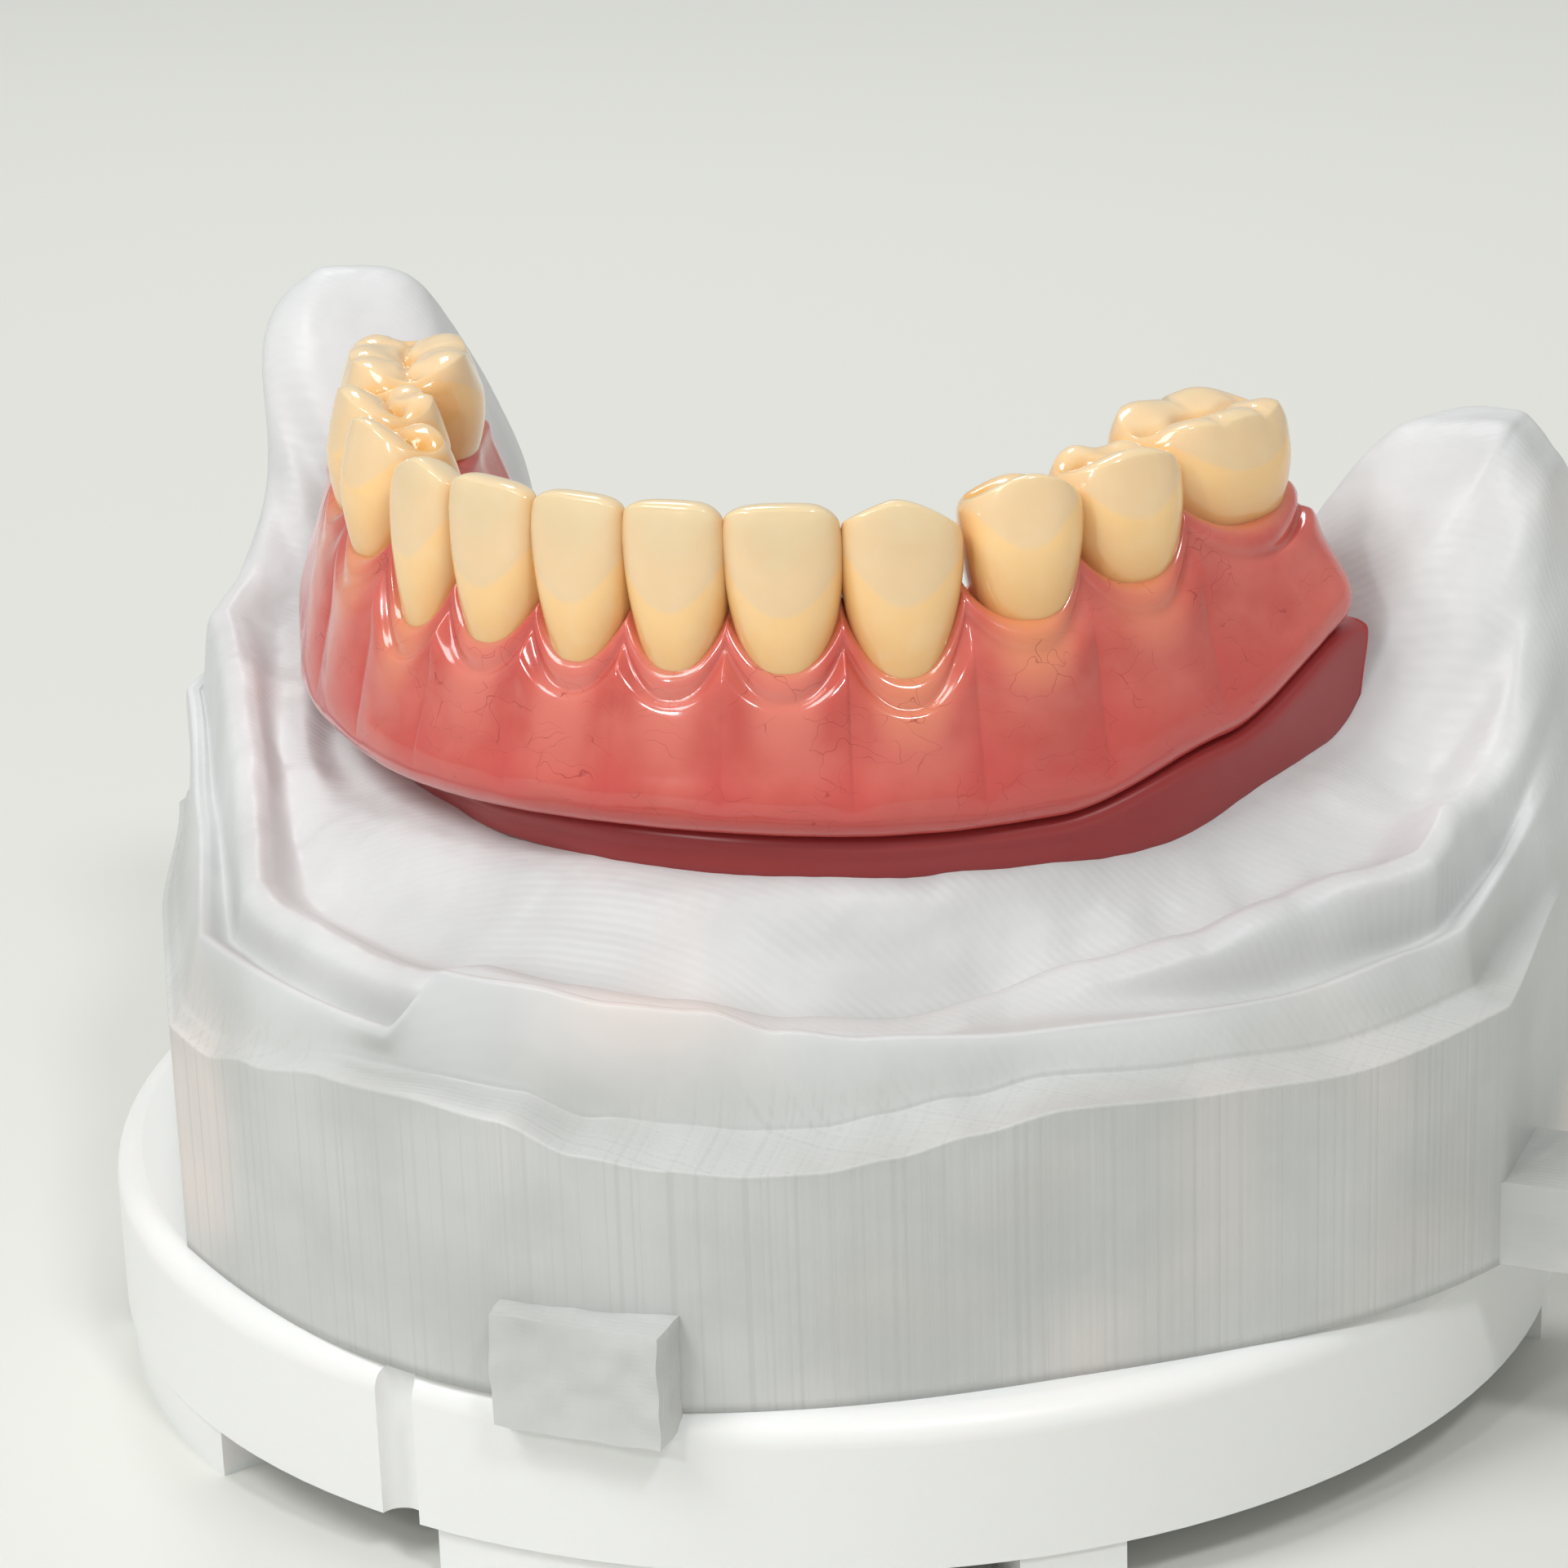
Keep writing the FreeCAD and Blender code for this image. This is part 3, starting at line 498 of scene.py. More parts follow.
def mask_profile(run):
    """Return the control points of the mask's section at each run."""
    ridge = ridge_level(run)
    top = under_level(run) - 0.15
    right = keyed(run, [(18, 0), (40, 1)])
    outer = keyed(run, [(-46, -1.5), (-17, -0.8), (-8, 0.3), (0, 0.9), (16, 1.3), (34, 2.4),
                        (46, 3.2)])
    foot = ridge - keyed(run, [(-46, 0.2), (-10, -0.2), (0, 0.3), (16, 0.5), (30, 1.2),
                               (46, 1.0)])
    return np.stack([np.stack(control, -1) for control in [
        (-5.4 + 0 * run, ridge - 0.6),
        (outer - 1.2, foot - 0.5),
        (outer - 0.15, foot - 0.2),
        (outer + 0.1, foot + 0.35),
        (outer + 0.2 + 0.3 * right, (foot + top) / 2),
        (outer + 0.3 + 0.5 * right, top - 0.5),
        (outer - 0.1 + 0.4 * right, top),
        (outer - 1.4, top + 0.1),
        (-5.6 + 0 * run, top),
        (-6.0 + 0 * run, (foot + top) / 2),
        (-5.4 + 0 * run, ridge - 0.6),
    ]])


def swept(name, profile_of, runs, count):
    """Return a piece swept along the arch from a closed section, with flat ends."""
    section = spline(profile_of(runs), count + 1)[:-1]
    spots = on_jaw(np.broadcast_to(runs, section.shape[:2]), section[..., 0], section[..., 1])
    faces = grid_faces(count, len(runs), close_rows=True)
    total = count * len(runs)
    faces += [list(range(0, total, len(runs)))[::-1], list(range(len(runs) - 1, total, len(runs)))]
    return new_piece(name, spots.reshape(-1, 3), faces)


soft_mask = swept("soft_mask", mask_profile, np.linspace(-45.4, 46.0, 240), 80)
mask_rubber, mask_shader = new_material("mask_silicone_glossy", Roughness=0.3, IOR=1.42)
mask_shader.inputs["Base Color"].default_value = linear("#9C3A3B")
mask_shader.inputs["Subsurface Weight"].default_value = 0.4
mask_shader.inputs["Subsurface Radius"].default_value = (1.0, 0.25, 0.25)
mask_shader.inputs["Subsurface Scale"].default_value = 0.0015
soft_mask.data.materials.append(mask_rubber)
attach(soft_mask, "mask")
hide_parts("gingiva_mask")


# ---- Denture base
# Pink heat-cured acrylic modelled as gum and polished: scalloped round each tooth, with a collar,
# a bulge over every root and a rounded rim. Fine red fibres lie in it and teeth glow through it.

# where each tooth starts along the arch line, from the middle back, on the right and on the left
TOOTH_STARTS = {1: np.array([-0.65, 5.35, 12.0, 18.9, 25.9, 33.4, 44.4]),
                -1: np.array([0.65, 6.8, 13.7, 20.0, 26.6, 33.6, 44.4])}
ZENITHS = [35.9, 35.9, 35.3, 37.8, 38.6, 40.0]
PAPILLAE = [38.7, 38.7, 38.7, 39.9, 41.0, 42.2, 41.4]
LINGUAL_MARGINS = [(0, 38.2), (19, 38.4), (30, 39.6), (46, 41.0)]


def tooth_share(run):
    """Return the tooth number at each run and how far across it the run is, from -1 to 1."""
    number = np.zeros(len(run), int)
    across = np.zeros(len(run))
    for side, starts in TOOTH_STARTS.items():
        here = side * run >= starts[0]
        away = side * run[here]
        number[here] = np.clip(np.searchsorted(starts, away, side="right") - 1, 0, 5)
        near = starts[number[here]]
        far = starts[number[here] + 1]
        across[here] = (away - (near + far) / 2) / ((far - near) / 2)
    return number, across


def margin_level(run):
    """Return the level of the scalloped gum margin."""
    number, across = tooth_share(run)
    across = np.clip(across, -1, 1.3)
    peak = np.where(across < 0, np.array(PAPILLAE)[number], np.array(PAPILLAE)[number + 1])
    low = np.array(ZENITHS)[number]
    return low + (peak - low) * np.minimum(1, np.abs(across)) ** 2.3


def base_profile(run):
    """Return the control points of the base's section at each run."""
    number, across = tooth_share(run)
    away = np.abs(run)
    centre = np.cos(np.clip(across, -1, 1) * np.pi / 2) ** 0.8
    bulge = (centre - 0.55) * np.array([0.55, 0.55, 0.8, 0.9, 0.9, 0.8])[number]
    out = keyed(away, [(11, 0), (17, 0.35), (22, 0.75), (31, 0.75), (38, 0.5), (45, 0.4)])
    margin = margin_level(run)
    under = under_level(run)
    rim = keyed(away, [(0, 2.6), (19, 2.6), (33, 3.2), (ARCH_RUN, 3.8)])
    molar = keyed(away, [(28, 0), (38, 1)])
    lift = 0.30 * centre + 0.30 * molar
    set_back = 1.35 * (1 - centre)
    fill = 2.0 * np.clip(np.abs(across), 0, 1) ** 7
    inside = -8.0 - 2.4 * molar
    lingual = keyed(away, LINGUAL_MARGINS)
    low = under + 2.8
    mid = margin - low
    return np.stack([np.stack(control, -1) for control in [
        (-1.9 - set_back, margin - 0.2 + fill),
        (-0.85 + 0.3 * lift + 0.5 * out - set_back, margin + 0.16 + 0.4 * fill),
        (-0.25 + lift + 0.9 * out - set_back, margin + 0.20),
        (0.28 + lift + out - 0.9 * set_back, margin - 0.20),
        (0.46 + lift + out + 0.1 * bulge - 0.75 * set_back, margin - 0.75),
        (0.46 + lift * 0.7 + out + 0.5 * bulge - 0.55 * set_back, margin - 1.40),
        (0.62 + 0.18 * rim + 0.8 * out + 0.9 * bulge, low + mid * 0.70),
        (0.45 + 0.48 * rim + 0.6 * out + 0.9 * bulge, low + mid * 0.42),
        (0.20 + 0.80 * rim + 0.4 * out + 0.55 * bulge, low + mid * 0.16),
        (rim + 0.25 + 0.25 * bulge, under + 2.4),
        (rim + 0.2, under + 1.2),
        (rim - 0.5, under + 0.25),
        (rim - 1.8, under),
        (-4.0 + 0 * run, under + 0.05),
        (inside + 1.6, under),
        (inside + 0.2, under + 0.8),
        (inside, under + 3.2),
        (inside + 1.0, (under + lingual) / 2 + 1.0),
        (-5.8 - 2.4 * molar, lingual - 1.4),
        (-5.3 - 2.6 * molar, lingual - 0.2),
        (-4.4 - 2.4 * molar, lingual + 0.2),
        (-3.2 - 0.6 * set_back, (margin + lingual) / 2 - 0.6 + 0.8 * fill),
        (-1.9 - set_back, margin - 0.2 + fill),
    ]])


# the base runs a little past the last teeth, and its ends are drawn in to round them
BASE_COLUMNS = 1100
BASE_ROWS = 170
runs = np.linspace(-ARCH_RUN - 1.2, ARCH_RUN + 1.2, BASE_COLUMNS)
section = spline(base_profile(runs), BASE_ROWS + 1)[:-1]
pull = np.sqrt(np.clip(1 - ((np.abs(runs) - ARCH_RUN + 1.4) / 2.62) ** 2, 0, 1))
pull = np.where(np.abs(runs) > ARCH_RUN - 1.4, pull, 1)[:, None]
hub = section.mean(axis=0, keepdims=True)
section = hub + (section - hub) * (0.66 + 0.34 * pull)
spots = on_jaw(np.broadcast_to(runs, section.shape[:2]), section[..., 0], section[..., 1])
faces = grid_faces(BASE_ROWS, len(runs), close_rows=True)
total = BASE_ROWS * len(runs)
faces += [list(range(0, total, len(runs)))[::-1], list(range(len(runs) - 1, total, len(runs)))]
waves = 0.10 * ripple(spots, 4.0, 11.0) + 0.035 * ripple(spots, 1.5, 4.0)
normals_x, normals_y = arch_at(runs)[2:]
spots[..., 0] += waves * normals_x * MM
spots[..., 1] += waves * normals_y * MM
gum = new_piece("gum", spots.reshape(-1, 3), faces)
root_share = np.cos(np.clip(tooth_share(runs)[1], -1, 1) * np.pi / 2)
root_share = root_share * np.array([1, 1, 1, 1, 0.8, 0.35])[tooth_share(runs)[0]]
below = np.clip((margin_level(runs) - section[..., 1]) / 9.0, -0.1, 1)
glow_by_tooth = np.array([0.0, 0.05, 0.40, 0.6, 0.4, 0.0])[tooth_share(runs)[0]]
glow = glow_by_tooth * root_share**1.5 * np.clip(1 - (below / 0.42) ** 2, 0, 1)
for name, values in (("root", np.broadcast_to(root_share, below.shape)), ("depth", below), ("glow", glow)):
    attribute = gum.data.attributes.new(name, "FLOAT", "POINT")
    attribute.data.foreach_set("value", np.ascontiguousarray(values, np.float32).ravel())


def gum_acrylic():
    """Pink acrylic, polished: deep wet gloss, paler over the roots, warm by the necks, fibres inside."""
    material, shader = new_material("pink_acrylic_polished", Roughness=0.16, IOR=1.5)
    shader.inputs["Coat Weight"].default_value = 0.5
    shader.inputs["Coat Roughness"].default_value = 0.04
    shader.inputs["Subsurface Weight"].default_value = 0.35
    shader.inputs["Subsurface Radius"].default_value = (1.0, 0.3, 0.2)
    shader.inputs["Subsurface Scale"].default_value = 0.0016
    place = add_node(material, "ShaderNodeTexCoord").outputs["Object"]
    root = add_node(material, "ShaderNodeAttribute", attribute_name="root").outputs["Fac"]
    depth = add_node(material, "ShaderNodeAttribute", attribute_name="depth").outputs["Fac"]
    # clouds of about 4 mm
    cloud = add_node(material, "ShaderNodeTexNoise", {"Vector": place}, {"Scale": 260.0, "Detail": 4.0})
    colour = mixed(material, ramped(material, cloud.outputs[0], 0.3, 0.7), "#C4534A", "#D0675C")
    upper = ramped(material, depth, 0.75, 0.15)
    pale = add_node(material, "ShaderNodeMath", {0: ramped(material, root, 0.35, 1.0), 1: upper},
                    operation="MULTIPLY")
    colour = mixed(material, pale.outputs[0], colour, "#D7776A")
    lower = ramped(material, depth, 0.55, 1.0)
    colour = mixed(material, lower, colour, "#C8504A")
    near = ramped(material, depth, 0.05, -0.03)
    warm = add_node(material, "ShaderNodeMath", {0: near}, {1: 0.5}, operation="MULTIPLY")
    colour = mixed(material, warm.outputs[0], colour, "#DE8A5C")
    glow = add_node(material, "ShaderNodeAttribute", attribute_name="glow").outputs["Fac"]
    colour = mixed(material, glow, colour, "#E29660")
    # fibres: edges of bent cells about 3 mm across, kept only in patches
    bend = add_node(material, "ShaderNodeTexNoise", {"Vector": place}, {"Scale": 350.0, "Detail": 2.0})
    swirl = add_node(material, "ShaderNodeVectorMath", {0: bend.outputs["Color"]}, operation="SCALE")
    swirl.inputs["Scale"].default_value = 0.004
    moved = add_node(material, "ShaderNodeVectorMath", {0: place, 1: swirl.outputs[0]}, operation="ADD")
    flat = add_node(material, "ShaderNodeVectorMath", {0: moved.outputs[0]}, operation="MULTIPLY")
    flat.inputs[1].default_value = (1.0, 1.0, 2.4)
    cells = add_node(material, "ShaderNodeTexVoronoi", {"Vector": flat.outputs[0]}, {"Scale": 300.0},
                     feature="DISTANCE_TO_EDGE")
    thin = ramped(material, cells.outputs["Distance"], 0.012, 0.0)
    some = ramped(material, add_node(material, "ShaderNodeTexNoise", {"Vector": place},
                                     {"Scale": 330.0, "Detail": 1.0}).outputs[0], 0.46, 0.56)
    fibre = add_node(material, "ShaderNodeMath", {0: thin, 1: some}, operation="MULTIPLY")
    faint = add_node(material, "ShaderNodeMath", {0: fibre.outputs[0]}, {1: 0.62}, operation="MULTIPLY")
    colour = mixed(material, faint.outputs[0], colour, "#96282C")
    material.node_tree.links.new(colour, shader.inputs["Base Color"])
    return material


gum.data.materials.append(gum_acrylic())
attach(gum, "denture")
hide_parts("denture_base")


# ---- Teeth
# Twelve acrylic denture teeth, pressed in layers: an orange-yellow neck, a cream body and a paler,
# greyer biting third. Polished, so flat edges and cusps catch small bright lights.

INCISAL_LEVEL = 45.5
RING = 72


def power(value, exponent):
    """Raise the size of a value to a power and keep its sign."""
    return np.sign(value) * np.abs(value) ** exponent


def crown(kind, width):
    """Return points (rows, RING, 3) in mm of a crown about its own axis, +Y labial, edge at 0."""
    # height, depth at the neck, depth at the edge, width at the neck as a share
    height, neck, edge, share = {
        "incisor": (9.6, 5.4, 1.7, 0.66),
        "lateral": (9.7, 5.7, 1.8, 0.66),
        "canine": (10.2, 5.8, 2.4, 0.66),
        "premolar": (8.6, 6.9, 5.2, 0.74),
        "second": (8.2, 7.3, 6.0, 0.78),
        "molar": (7.2, 9.2, 8.0, 0.86),
    }[kind]
    turn = np.linspace(0, 2 * math.pi, RING, endpoint=False)
    rows = []
    back_teeth = kind in ("premolar", "second", "molar")
    half = width / 2
    side_rows = np.concatenate([np.linspace(-0.16, 0.9, 34), np.linspace(0.92, 1.0, 6)])
    for rise in side_rows:
        up = min(max(rise, 0), 1)
        widen = share + (1 - share) * math.sin(min(1, up / 0.72) * math.pi / 2) ** 0.95
        if rise < 0:
            widen -= 0.25 * -rise / 0.16 * share
        shoulder = max(0, (up - 0.80) / 0.20)
        wide = half * widen * (1 - (0.05 if not back_teeth else 0.10) * shoulder**2)
        if back_teeth:
            tuck = 0.84 + 0.16 * math.sin(min(1, up / 0.5) * math.pi / 2)
            deep = neck / 2 * tuck * (1 - 0.10 * up**3) + (edge - neck) / 2 * max(0, up - 0.55) / 0.45
            middle = -neck * 0.47
        else:
            deep = (neck * (1 - up) ** 0.9 + edge * up**0.9 + 0.5 * math.sin(up * math.pi)) / 2
            face = 0.30 * math.sin(min(1, up * 1.15) * math.pi) - 0.20 * up - 0.40 * shoulder**2
            middle = face - deep
        square = 0.72 + 0.10 * (1 - up)
        x = wide * power(np.cos(turn), square)
        y = middle + deep * power(np.sin(turn), 0.86)
        z = np.full(RING, -height * (1 - rise))
        rows.append(np.stack([x, y, z], -1))
    rim = rows[-1]
    centre = np.array([0, rim[:, 1].mean(), 0])
    for shrink in np.concatenate([np.linspace(0.985, 0.86, 7), np.linspace(0.80, 0.02, 22)]):
        ring = centre + (rim - centre) * shrink
        ring[:, 2] = rim[:, 2] + (0.28 if back_teeth else 0.42) * math.sqrt(1 - shrink**2 * 0.97) - 0.05
        rows.append(ring)
    spots = np.stack(rows)
    return spots, side_rows, height


def biting(kind, width, spots):
    """Shape the biting end: corners, point, cusps and fissures."""
    x = spots[..., 0]
    y = spots[..., 1]
    z = spots[..., 2]
    across = x / (width / 2)
    tall = -z.min()
    near = np.clip(1 + z / (tall * 0.45), 0, 1) ** 1.6
    if kind in ("incisor", "lateral"):
        round_off = np.where(across > 0, 1.5, 0.3) * np.clip(np.abs(across) - 0.45, 0, 1) ** 2
        corner = 0.45 * np.abs(across) ** 6 + round_off
        z = z - corner * near
        z = z - 0.10 * near * np.clip(-(y + 0.5), 0, 3)
        return np.stack([x, y, z], -1)
    if kind == "canine":
        peak = 0.10
        slope = np.abs(across + peak)
        z = z - near * (1.15 * np.sqrt(slope**2 + 0.02) + 0.5 * np.clip(across, 0, 1) ** 2 - 0.16)
        z = z - 0.35 * near * np.clip(-(y + 0.9), 0, 3)
        return np.stack([x, y, z], -1)
    depth = y.max() - y.min()
    middle = (y.max() + y.min()) / 2
    into = (y - middle) / (depth / 2)

    def cusp(at_x, at_y, size_x, size_y, high):
        return high * np.exp(-(((across - at_x) / size_x) ** 2) - (((into - at_y) / size_y) ** 2))

    if kind == "premolar":
        top = cusp(0.12, 0.66, 0.95, 0.60, 1.9) + cusp(0.0, -0.6, 0.6, 0.42, 0.8) - 1.9
        pits = cusp(-0.5, -0.08, 0.22, 0.16, 0.7) + cusp(0.5, -0.08, 0.22, 0.16, 0.7)
        groove = 0.35 * np.exp(-((into + 0.1) / 0.09) ** 2) * np.exp(-((across / 0.7) ** 4))
    elif kind == "second":
        top = cusp(0.1, 0.6, 0.95, 0.52, 1.5) + cusp(-0.42, -0.55, 0.4, 0.4, 0.9)
        top = top + cusp(0.42, -0.55, 0.4, 0.4, 0.8) - 1.6
        pits = cusp(-0.45, 0, 0.2, 0.16, 0.7) + cusp(0.45, 0, 0.2, 0.16, 0.7)
        groove = 0.4 * np.exp(-((into + 0.02) / 0.08) ** 2) * np.exp(-((across / 0.72) ** 4))
    else:
        top = cusp(-0.58, 0.60, 0.42, 0.44, 0.9) + cusp(0.06, 0.64, 0.36, 0.42, 0.85)
        top = top + cusp(0.66, 0.45, 0.34, 0.4, 0.8)
        top = top + cusp(-0.48, -0.55, 0.46, 0.44, 1.0) + cusp(0.42, -0.55, 0.46, 0.44, 0.9) - 1.2
        pits = cusp(-0.1, 0.02, 0.2, 0.18, 0.5) + cusp(-0.75, 0, 0.14, 0.2, 0.4)
        pits = pits + cusp(0.74, -0.05, 0.14, 0.2, 0.4)
        line = 0.05 * np.sin(across * 9)
        groove = 0.45 * np.exp(-((into - line) / 0.07) ** 2) * np.exp(-((across / 0.8) ** 6))
        groove = groove + 0.35 * np.exp(-((across + 0.27) / 0.05) ** 2) * np.clip(into, 0, 1)
        groove = groove + 0.35 * np.exp(-((across - 0.36) / 0.05) ** 2) * np.clip(into, 0, 1)
        groove = groove + 0.35 * np.exp(-((across - 0.02) / 0.05) ** 2) * np.clip(-into, 0, 1)
    z = z + near * (top - pits - groove)
    return np.stack([x, y, z], -1)


# name, form, drop below the biting level, offset outward, turn towards the front in degrees
TOOTH_KINDS = [
    ("central_incisor", "incisor", 0.35, 0.2, 0),
    ("lateral_incisor", "lateral", 0.45, 0.2, 0),
    ("canine", "canine", 0.35, 0.4, 4),
    ("first_premolar", "premolar", -0.5, 0.9, 15),
    ("second_premolar", "second", -0.7, 0.7, 13),
    ("first_molar", "molar", -1.1, 0.5, 8),
]


def tooth_acrylic():
    """Layered tooth acrylic, polished: orange neck, cream body, pale greyish biting third, wet gloss."""
    material, shader = new_material("tooth_acrylic_polished", Roughness=0.14, IOR=1.52)
    shader.inputs["Coat Weight"].default_value = 0.4
    shader.inputs["Coat Roughness"].default_value = 0.03
    shader.inputs["Subsurface Weight"].default_value = 0.3
    shader.inputs["Subsurface Radius"].default_value = (1.0, 0.75, 0.45)
    shader.inputs["Subsurface Scale"].default_value = 0.0014
    place = add_node(material, "ShaderNodeTexCoord").outputs["Object"]
    rise = add_node(material, "ShaderNodeAttribute", attribute_name="rise").outputs["Fac"]
    across = add_node(material, "ShaderNodeAttribute", attribute_name="across").outputs["Fac"]
    pit = add_node(material, "ShaderNodeAttribute", attribute_name="pit").outputs["Fac"]
    square = add_node(material, "ShaderNodeMath", {0: across, 1: across}, operation="MULTIPLY")
    sag = add_node(material, "ShaderNodeMath", {0: square.outputs[0]}, {1: 0.30}, operation="MULTIPLY")
    depth = add_node(material, "ShaderNodeMath", {0: rise, 1: sag.outputs[0]}, operation="SUBTRACT")
    layer = depth.outputs[0]
    # clouds of about 2 mm
    cloud = add_node(material, "ShaderNodeTexNoise", {"Vector": place}, {"Scale": 500.0, "Detail": 3.0})
    body = mixed(material, ramped(material, layer, -0.05, 0.36), "#E6B475", "#F5CC90")
    colour = mixed(material, ramped(material, layer, 0.38, 0.43), body, "#EACB9F")
    colour = mixed(material, ramped(material, layer, 0.55, 0.90), colour, "#E2CBA3")
    side = ramped(material, square.outputs[0], 0.55, 1.0)
    edge = add_node(material, "ShaderNodeMath", {0: side}, {1: 0.45}, operation="MULTIPLY")
    colour = mixed(material, edge.outputs[0], colour, "#DFA55C")
    colour = mixed(material, pit, colour, "#DDA03C")
    speck = add_node(material, "ShaderNodeMath", {0: ramped(material, cloud.outputs[0], 0.4, 0.7)},
                     {1: 0.12}, operation="MULTIPLY")
    colour = mixed(material, speck.outputs[0], colour, "#F0E2C0")
    material.node_tree.links.new(colour, shader.inputs["Base Color"])
    return material


tooth_layers = tooth_acrylic()
for side_name, side in (("left", -1), ("right", 1)):
    for number, (tooth, kind, drop, offset, facing) in enumerate(TOOTH_KINDS):
        near, far = TOOTH_STARTS[side][number:number + 2]
        width = far - near
        spots, side_rows, height = crown(kind, width)
        rise = np.clip(1 + spots[..., 2] / height, 0, 1)
        plain = spots[..., 2].copy()
        spots = biting(kind, width, spots)
        pit = np.zeros(rise.shape)
        if kind in ("premolar", "second", "molar"):
            top_rows = len(side_rows)
            sunk = plain - spots[..., 2]
            pit[top_rows:] = np.clip((sunk[top_rows:] - 0.95) / 0.9, 0, 1) * 0.8
            rise[:top_rows] *= 0.72
            rise[top_rows:] = 0.62 + 0.20 * np.clip(1 - sunk[top_rows:], 0, 1)
        if kind == "canine":
            rise *= 0.88
        across = spots[..., 0] / (width / 2)
        x, y, out_x, out_y = arch_at(np.array([side * (near + far) / 2]))
        x = x + out_x * offset
        y = y + out_y * offset
        swing = math.radians(facing) * side
        turned_x = out_x * math.cos(swing) + out_y * math.sin(swing)
        turned_y = out_y * math.cos(swing) - out_x * math.sin(swing)
        out_x, out_y = turned_x, turned_y
        along_x = -out_y * side
        along_y = out_x * side
        lateral = spots[..., 0]
        labial = spots[..., 1]
        world = np.stack([
            x + along_x * lateral + out_x * labial + JAW_SHIFT,
            y + along_y * lateral + out_y * labial,
            PLATE_TOP + INCISAL_LEVEL - drop + spots[..., 2],
        ], -1)
        rows = world.shape[0]
        faces = grid_faces(rows, RING, close_columns=True)
        if side > 0:
            faces = [face[::-1] for face in faces]
        faces += [list(range(RING)) if side > 0 else list(range(RING))[::-1]]
        last = list(range((rows - 1) * RING, rows * RING))
        faces += [last[::-1] if side > 0 else last]
        name = "crown_%s_%s" % (side_name, tooth)
        piece = new_piece(name, world.reshape(-1, 3) * MM, faces)
        for label, values in (("rise", rise), ("across", across), ("pit", pit)):
            attribute = piece.data.attributes.new(label, "FLOAT", "POINT")
            attribute.data.foreach_set("value", np.ascontiguousarray(values, np.float32).ravel())
        piece.data.materials.append(tooth_layers)
        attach(piece, "denture")
        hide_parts("tooth_%s_%s" % (side_name, tooth))


# ---- Attachments
# The fittings inside: implant analogs in the model, abutments on them, caps and a bar in the denture,
# and a magnet with its keeper under the model. Turned and plated metal with nylon inserts.
# They keep their shapes and show when the pieces are lifted apart.


def plain_metal(name, colour, roughness):
    """Bare metal with a machined finish: sharp dark and light reflections."""
    material, shader = new_material(name, Metallic=1.0, Roughness=roughness)
    place = add_node(material, "ShaderNodeTexCoord").outputs["Object"]
    rings = add_node(material, "ShaderNodeTexNoise", {"Vector": place}, {"Scale": 2500.0, "Detail": 2.0})
    shade = mixed(material, ramped(material, rings.outputs[0], 0.3, 0.7), colour, "#FFFFFF")
    faint = add_node(material, "ShaderNodeMix", data_type="RGBA")
    faint.inputs[0].default_value = 0.12
    faint.inputs[6].default_value = linear(colour)
    material.node_tree.links.new(shade, faint.inputs[7])
    material.node_tree.links.new(faint.outputs[2], shader.inputs["Base Color"])
    return material


def matt_nylon():
    """Blue nylon, moulded: slightly waxy and dull."""
    material, shader = new_material("blue_nylon_moulded", Roughness=0.45, IOR=1.53)
    shader.inputs["Base Color"].default_value = linear("#4F7FB5")
    shader.inputs["Subsurface Weight"].default_value = 0.2
    shader.inputs["Subsurface Scale"].default_value = 0.0008
    return material


fours = ["1", "2", "3", "4"]
repaint(plain_metal("titanium_turned", "#A9A7A3", 0.32), *["implant_analog_" + place for place in fours])
repaint(plain_metal("gold_nitride_polished", "#D9B46A", 0.2), *["abutment_" + place for place in fours])
repaint(plain_metal("steel_polished", "#C4C4C6", 0.18), *["insert_housing_" + place for place in fours])
repaint(matt_nylon(), *["retention_insert_" + place for place in fours])
repaint(plain_metal("cobalt_chrome_blasted", "#AEB0B3", 0.42), "reinforcing_bar")
repaint(plain_metal("nickel_plated", "#C9C6BE", 0.22), "plate_magnet")
repaint(plain_metal("steel_ground", "#B9BABC", 0.35), "keeper_disc")
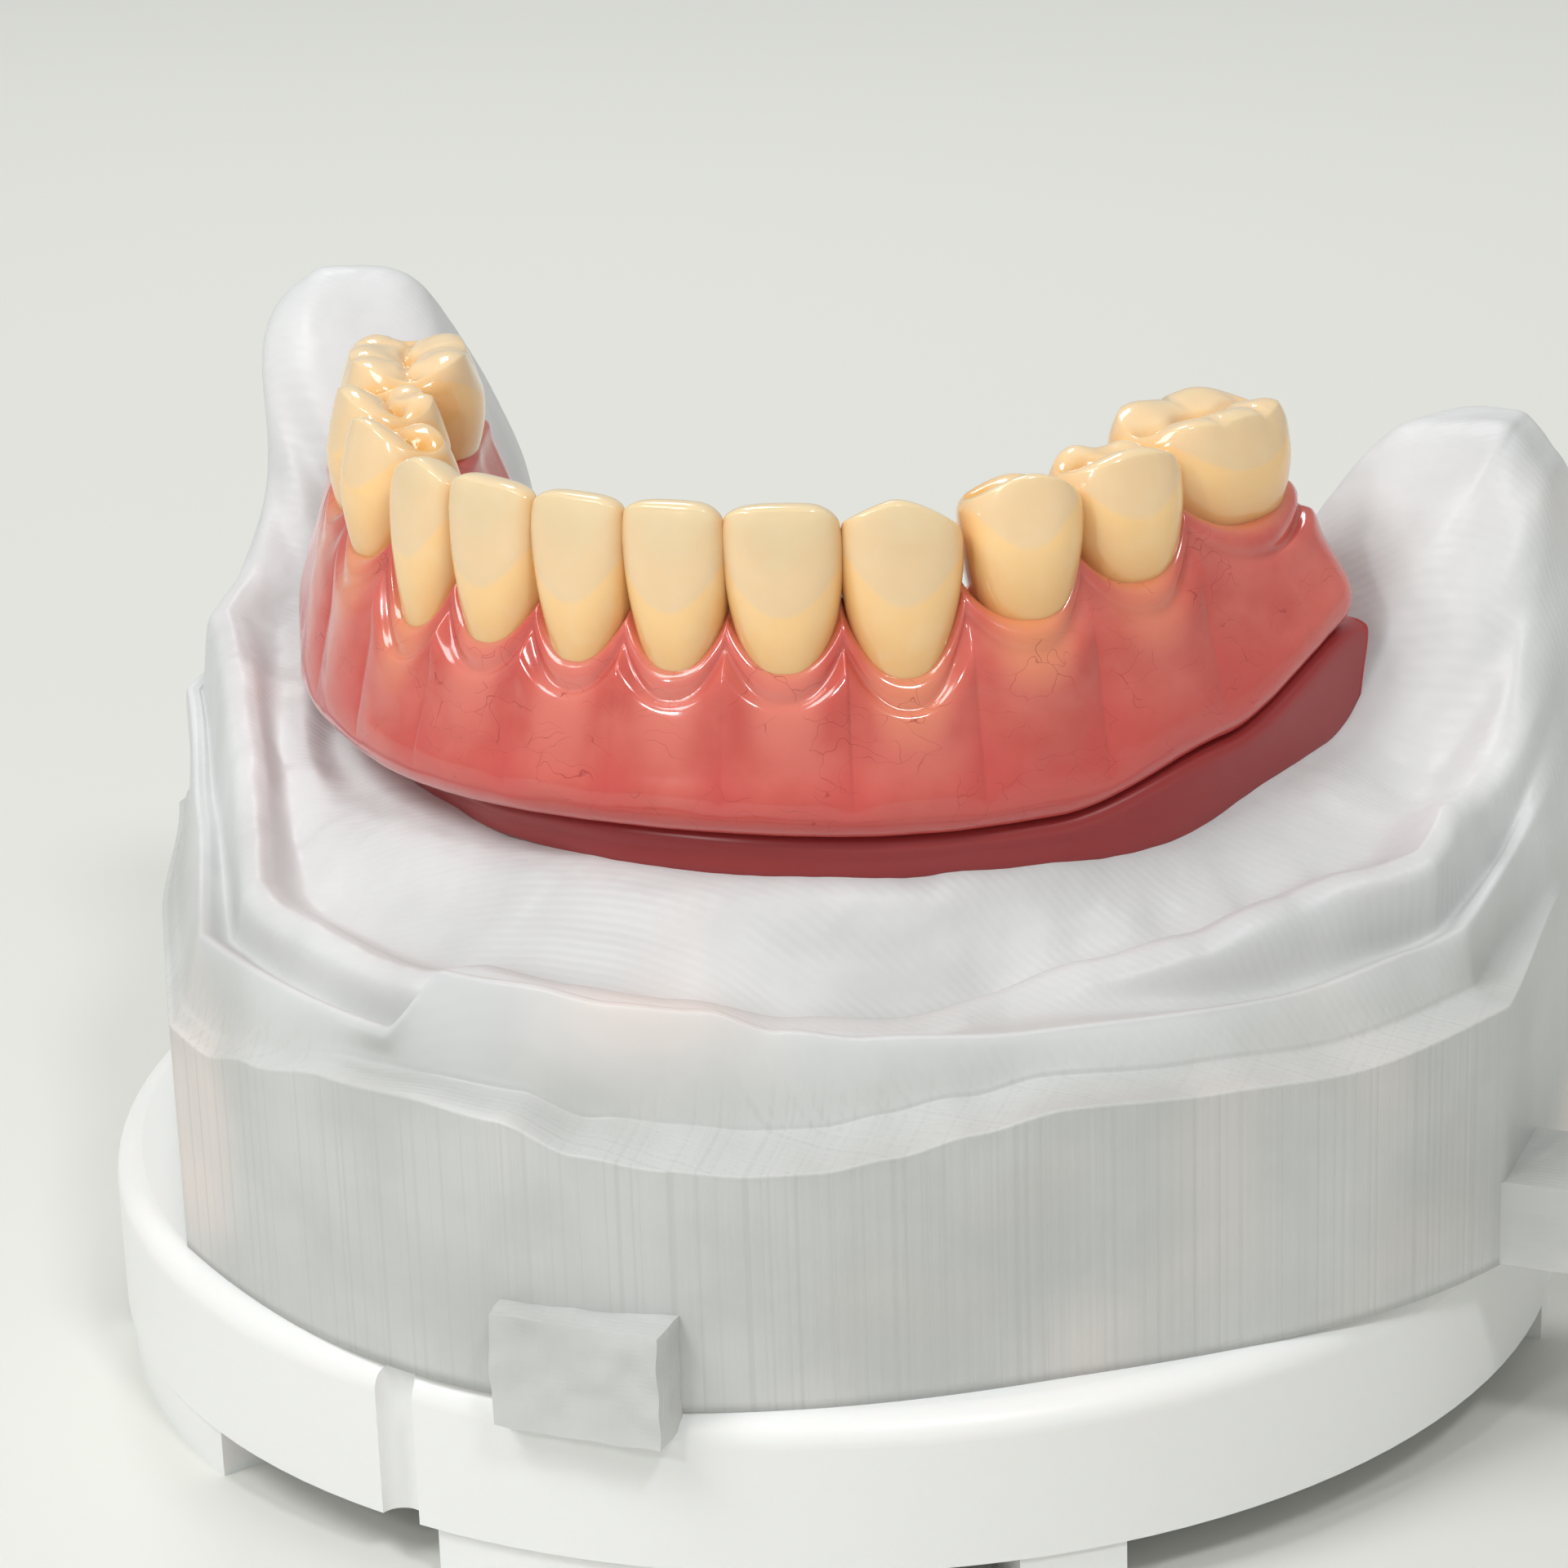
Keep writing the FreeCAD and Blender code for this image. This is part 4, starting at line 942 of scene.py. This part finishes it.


# ---- Floor, light and camera
# A pale painted bench with a faint painted glow that grows towards the back, so it fades into a pale room,
# lit by soft boxes from the front and from behind.
# The smallest and lowest stands in front, for small bright spots on the polished teeth and gum.

floor = new_piece("bench", [(-3, -3, 0), (3, -3, 0), (3, 3, 0), (-3, 3, 0)], [(0, 1, 2, 3)])
floor_paint_and_painted_light, floor_shader = new_material("bench_paint_and_painted_light", Roughness=0.6)
floor_shader.inputs["Base Color"].default_value = linear("#DBDCD7")
bench_place = add_node(floor_paint_and_painted_light, "ShaderNodeTexCoord").outputs["Object"]
bench_axes = add_node(floor_paint_and_painted_light, "ShaderNodeSeparateXYZ", {"Vector": bench_place})
# painted light: the bench glows faintly, more the farther back it lies, standing in for light on the far
# bench
far = ramped(floor_paint_and_painted_light, bench_axes.outputs["Y"], 0.0, 0.34)
painted_far_light_share = add_node(floor_paint_and_painted_light, "ShaderNodeMath", {0: far}, {1: 0.12}, operation="MULTIPLY")
floor_shader.inputs["Emission Color"].default_value = linear("#F4F4F2")
floor_paint_and_painted_light.node_tree.links.new(painted_far_light_share.outputs[0], floor_shader.inputs["Emission Strength"])
floor.data.materials.append(floor_paint_and_painted_light)

world = bpy.data.worlds.new("studio")
bpy.context.scene.world = world
world.use_nodes = True
world.node_tree.nodes["Background"].inputs["Color"].default_value = linear("#EDEEEA")
world.node_tree.nodes["Background"].inputs["Strength"].default_value = 0.58

CAMERA_AZIMUTH = 22.41
CAMERA_ELEVATION = 19.90
CAMERA_ROLL = -1.93
CAMERA_DISTANCE = 0.28118
CAMERA_TARGET = (-0.0010, -0.0042, 0.03403)

camera_data = bpy.data.cameras.new("camera")
camera_data.sensor_width = 36
camera_data.lens = 106.76
camera_data.clip_start = 0.01
camera = bpy.data.objects.new("camera", camera_data)
bpy.context.scene.collection.objects.link(camera)
turn = Matrix.Rotation(math.radians(CAMERA_AZIMUTH), 4, "Z")
tip = Matrix.Rotation(math.radians(90 - CAMERA_ELEVATION), 4, "X")
roll = Matrix.Rotation(math.radians(CAMERA_ROLL), 4, "Z")
back = Matrix.Translation((0, 0, CAMERA_DISTANCE))
camera.matrix_world = Matrix.Translation(CAMERA_TARGET) @ turn @ tip @ roll @ back
bpy.context.scene.camera = camera
bpy.context.scene.view_settings.view_transform = "Standard"


def soft_box(name, place, aim, width, power):
    """Add a square soft box that faces a point."""
    data = bpy.data.lights.new(name, "AREA")
    data.size = width
    data.energy = power
    lamp = bpy.data.objects.new(name, data)
    bpy.context.scene.collection.objects.link(lamp)
    direction = Matrix.Translation(place).translation - Matrix.Translation(aim).translation
    lamp.rotation_euler = direction.to_track_quat("Z", "Y").to_euler()
    lamp.location = place
    return lamp


soft_box("key_box", (-0.25, -0.35, 0.60), (0, 0, 0.03), 0.28, 2.15)
soft_box("spark_box", (-0.09, -0.50, 0.36), (0, 0, 0.05), 0.05, 0.45)
soft_box("right_box", (0.30, -0.30, 0.55), (0, 0, 0.05), 0.09, 1.0)
soft_box("back_box", (-0.22, 0.32, 0.50), (0, 0, 0.05), 0.13, 0.5)
